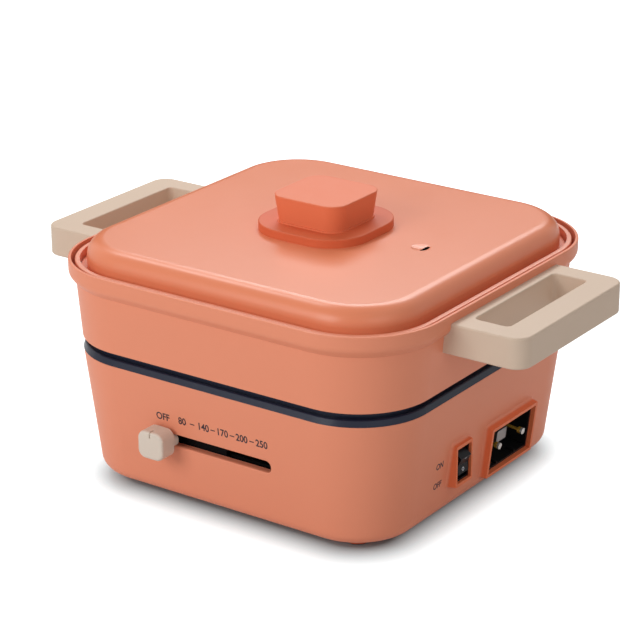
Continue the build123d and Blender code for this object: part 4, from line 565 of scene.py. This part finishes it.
def text_mesh(name, text, height):
    """Flat lettering as thick as the ink, its middle at the origin."""
    curve = bpy.data.curves.new(name, "FONT")
    curve.body = text
    curve.align_x = "CENTER"
    curve.align_y = "CENTER"
    curve.size = height / CAPITAL_SHARE
    curve.offset = LETTER_WEIGHT
    curve.extrude = PRINT_THICKNESS / 2
    source = linked(name + "_curve", curve)
    depsgraph = bpy.context.evaluated_depsgraph_get()
    mesh = bpy.data.meshes.new_from_object(source.evaluated_get(depsgraph))
    bpy.data.objects.remove(source)
    mesh.transform(Matrix.Diagonal((LETTER_NARROWING, 1.0, 1.0, 1.0)))
    return mesh


def bar_mesh(name, width, height):
    """A flat printed bar, as thick as the ink."""
    half = (width / 2, height / 2, PRINT_THICKNESS / 2)
    corners = [(x * half[0], y * half[1], z * half[2])
               for z in (-1, 1) for y in (-1, 1) for x in (-1, 1)]
    faces = [(0, 2, 3, 1), (4, 5, 7, 6), (0, 1, 5, 4), (2, 6, 7, 3), (0, 4, 6, 2), (1, 3, 7, 5)]
    mesh = bpy.data.meshes.new(name)
    mesh.from_pydata(corners, [], faces)
    return mesh


def ring_mesh(name, outer, inner):
    """A flat printed ring, as thick as the ink."""
    half = PRINT_THICKNESS / 2
    corners = []
    for step in range(RING_STEPS):
        turn = 2 * math.pi * step / RING_STEPS
        for radius, z in ((outer, -half), (outer, half), (inner, half), (inner, -half)):
            corners.append((radius * math.cos(turn), radius * math.sin(turn), z))
    faces = []
    for step in range(RING_STEPS):
        this = 4 * step
        following = 4 * ((step + 1) % RING_STEPS)
        for side in range(4):
            beside = (side + 1) % 4
            faces.append((this + side, following + side, following + beside, this + beside))
    mesh = bpy.data.meshes.new(name)
    mesh.from_pydata(corners, [], faces)
    return mesh


def make_print(name, mesh, place, ink, body):
    """Seats a print, gives it its ink and lets it ride on its body."""
    mesh.transform(place)
    wear(mesh, ink)
    piece = linked(name, mesh)
    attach(piece, body)


def make_scale(walls, ink):
    """The slider's scale on the front wall."""
    front = cad_low.y - RAY_LEAD
    for index, (text, along, shift) in enumerate(SCALE_TEXTS):
        name = f"scale_label_{index}"
        place = seat_on(walls, Vector((along, front, SCALE_HEIGHT + shift)), FROM_FRONT)
        make_print(name, text_mesh(name, text, DIGIT_HEIGHT), place, ink, "base")
    for index, along in enumerate(SCALE_DASHES):
        name = f"scale_dash_{index}"
        place = seat_on(walls, Vector((along, front, SCALE_HEIGHT)), FROM_FRONT)
        make_print(name, bar_mesh(name, *DASH_SIZE), place, ink, "base")


def make_switch_marks(walls, ink, white_ink):
    """ON and OFF beside the switch, and the ring and bar on its rocker."""
    low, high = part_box("rocker")
    start = (low + high) / 2
    start.x = cad_high.x
    for text, rise in SWITCH_TEXTS:
        name = f"switch_label_{text}"
        place = seat_on(walls, start + Vector((0, SWITCH_TEXT_SHIFT, rise)), FROM_RIGHT)
        make_print(name, text_mesh(name, text, SWITCH_LETTER_HEIGHT), place, ink, "base")
    face = tree_of("rocker")
    for mesh, rise in ((ring_mesh("rocker_off_ring", *OFF_RING_RADII), OFF_RING_RISE),
                       (bar_mesh("rocker_on_bar", *ON_BAR_SIZE), ON_BAR_RISE)):
        place = seat_on(face, start + UP * rise, FROM_RIGHT)
        make_print(mesh.name, mesh, place, white_ink, "rocker")


def make_lettering():
    """Every print of the part, in its dark and its white ink."""
    ink = moulded("ink_finish", linear(30, 20, 32), 0.5, grain=0.03)
    white_ink = moulded("white_ink_finish", linear(222, 224, 230), 0.5, grain=0.03)
    walls = tree_of("housing")
    make_scale(walls, ink)
    make_switch_marks(walls, ink, white_ink)


# ------------------------------------------------------------ stage and light

WHITE = (1.0, 1.0, 1.0, 1.0)
BLACK = (0.0, 0.0, 0.0, 1.0)
REFLECTED = ("Is Glossy Ray", "Is Transmission Ray")

FLOOR_REACH = 12.0
LIT_FLOOR = (0.76, 0.76, 0.76, 1.0)
# Close to the foot, the camera sees the floor as this dim, slightly teal grey: a painted shadow,
# tinted so that the orange light the object throws on the floor looks grey
SHOWN_FLOOR = (0.41, 0.49, 0.51, 1.0)
# Where the painted shadow round the footprint starts to give way to white and where it ends,
# measured outwards from the footprint
SHADOW_START = -0.012
SHADOW_END = 0.016

FLAG_PLACE = (-1.08, 1.68, 0.0)
FLAG_TURN = math.radians(32.7)
FLAG_WIDTH = 2.6
FLAG_HEIGHT = 1.5

AMBIENT_LIGHT = 0.32
LIGHT_AIM = Vector((0.0, 0.0, 0.08))
# Each soft box: name, place, width, height and radiance, where 1 is white
SOFTBOXES = [
    ("key", (-0.38, -1.45, 0.75), 0.9, 0.9, 4.45),
    ("back", (-0.66, 1.25, 1.25), 1.1, 0.75, 5.9),
    ("overhead", (0.9, 0.1, 1.5), 1.0, 1.0, 0.4),
    ("strip", (-0.85, 0.24, 1.3), 0.35, 0.3, 12.0),
    ("fill", (1.3, -0.65, 0.85), 0.9, 0.7, 1.25),
]


def make_sheet(name, corners, material):
    """A flat sheet of the stage, which isn't part of the object."""
    mesh = bpy.data.meshes.new(name)
    mesh.from_pydata(corners, [], [(0, 1, 2, 3)])
    mesh.materials.append(material)
    sheet = linked(name, mesh)
    return sheet


def floor_material():
    """Grey to the light, white to reflections, and to the camera white, with a painted shadow round
    the object's foot over its real soft shadow.
    """
    material = bpy.data.materials.new("floor_white")
    nodes = NodeTree(material)
    nodes.tree.nodes.clear()

    def diffuse(colour):
        made = nodes.node("ShaderNodeBsdfDiffuse")
        made.inputs["Color"].default_value = colour
        return made.outputs[0]

    place = nodes.split(nodes.node("ShaderNodeTexCoord").outputs["Object"])
    lift = nodes.node("ShaderNodeEmission")
    lift.inputs["Color"].default_value = WHITE
    painted_shadow_fade = nodes.between(nodes.beyond_axes(place), 0.0, 1.0,
                         start=FOOTPRINT_RADIUS + SHADOW_START, end=FOOTPRINT_RADIUS + SHADOW_END)
    nodes.feed(lift.inputs["Strength"], painted_shadow_fade)
    shown = nodes.node("ShaderNodeAddShader")
    nodes.feed(shown.inputs[0], diffuse(SHOWN_FLOOR))
    nodes.feed(shown.inputs[1], lift.outputs[0])

    surface = diffuse(LIT_FLOOR)
    for rays, seen in ((REFLECTED, diffuse(WHITE)), (("Is Camera Ray",), shown.outputs[0])):
        choice = nodes.node("ShaderNodeMixShader")
        for socket, value in zip(choice.inputs, (nodes.seen_by(*rays), surface, seen)):
            nodes.feed(socket, value)
        surface = choice.outputs[0]
    nodes.feed(nodes.node("ShaderNodeOutputMaterial").inputs["Surface"], surface)
    return material


def make_floor():
    """The white floor, which keeps the object's shadow and has a painted shadow round its foot."""
    reach = FLOOR_REACH
    make_sheet("floor", [(-reach, -reach, 0), (reach, -reach, 0), (reach, reach, 0),
                         (-reach, reach, 0)], floor_material())


def make_flag():
    """A black card behind the object that only reflections see, as in a photo studio."""
    material = bpy.data.materials.new("flag_black")
    material.use_nodes = True
    principled = material.node_tree.nodes["Principled BSDF"]
    principled.inputs["Base Color"].default_value = BLACK
    principled.inputs["Specular IOR Level"].default_value = 0.0
    across = FLAG_WIDTH / 2
    flag = make_sheet("flag", [(-across, 0, 0), (across, 0, 0), (across, 0, FLAG_HEIGHT),
                               (-across, 0, FLAG_HEIGHT)], material)
    flag.location = FLAG_PLACE
    flag.rotation_euler = (0.0, 0.0, FLAG_TURN)
    flag.visible_camera = False
    flag.visible_diffuse = False
    flag.visible_transmission = False
    flag.visible_shadow = False


def make_world():
    """Even light from all round, and a white background."""
    world = bpy.data.worlds.new("studio")
    bpy.context.scene.world = world
    nodes = NodeTree(world)
    background = nodes.tree.nodes["Background"]
    background.inputs["Color"].default_value = WHITE
    nodes.feed(background.inputs["Strength"],
               nodes.between(nodes.seen_by("Is Camera Ray", *REFLECTED), AMBIENT_LIGHT, 1.0))


def make_softbox(name, place, width, height, radiance):
    """A rectangular studio light that faces the object."""
    data = bpy.data.lights.new(name, "AREA")
    data.shape = "RECTANGLE"
    data.size = width
    data.size_y = height
    data.energy = math.pi * width * height * radiance
    lamp = linked(name, data)
    lamp.location = place
    lamp.rotation_mode = "QUATERNION"
    lamp.rotation_quaternion = (Vector(place) - LIGHT_AIM).to_track_quat("Z", "Y")


def make_studio():
    """The world, the stage and the lamps."""
    make_world()
    make_floor()
    make_flag()
    for softbox in SOFTBOXES:
        make_softbox(*softbox)
    bpy.context.scene.view_settings.view_transform = "Standard"


make_camera()
make_studio()
finishes, own_finishes = make_finishes()
dress(finishes, own_finishes)
make_spring(finishes["spring_steel"])
make_lettering()
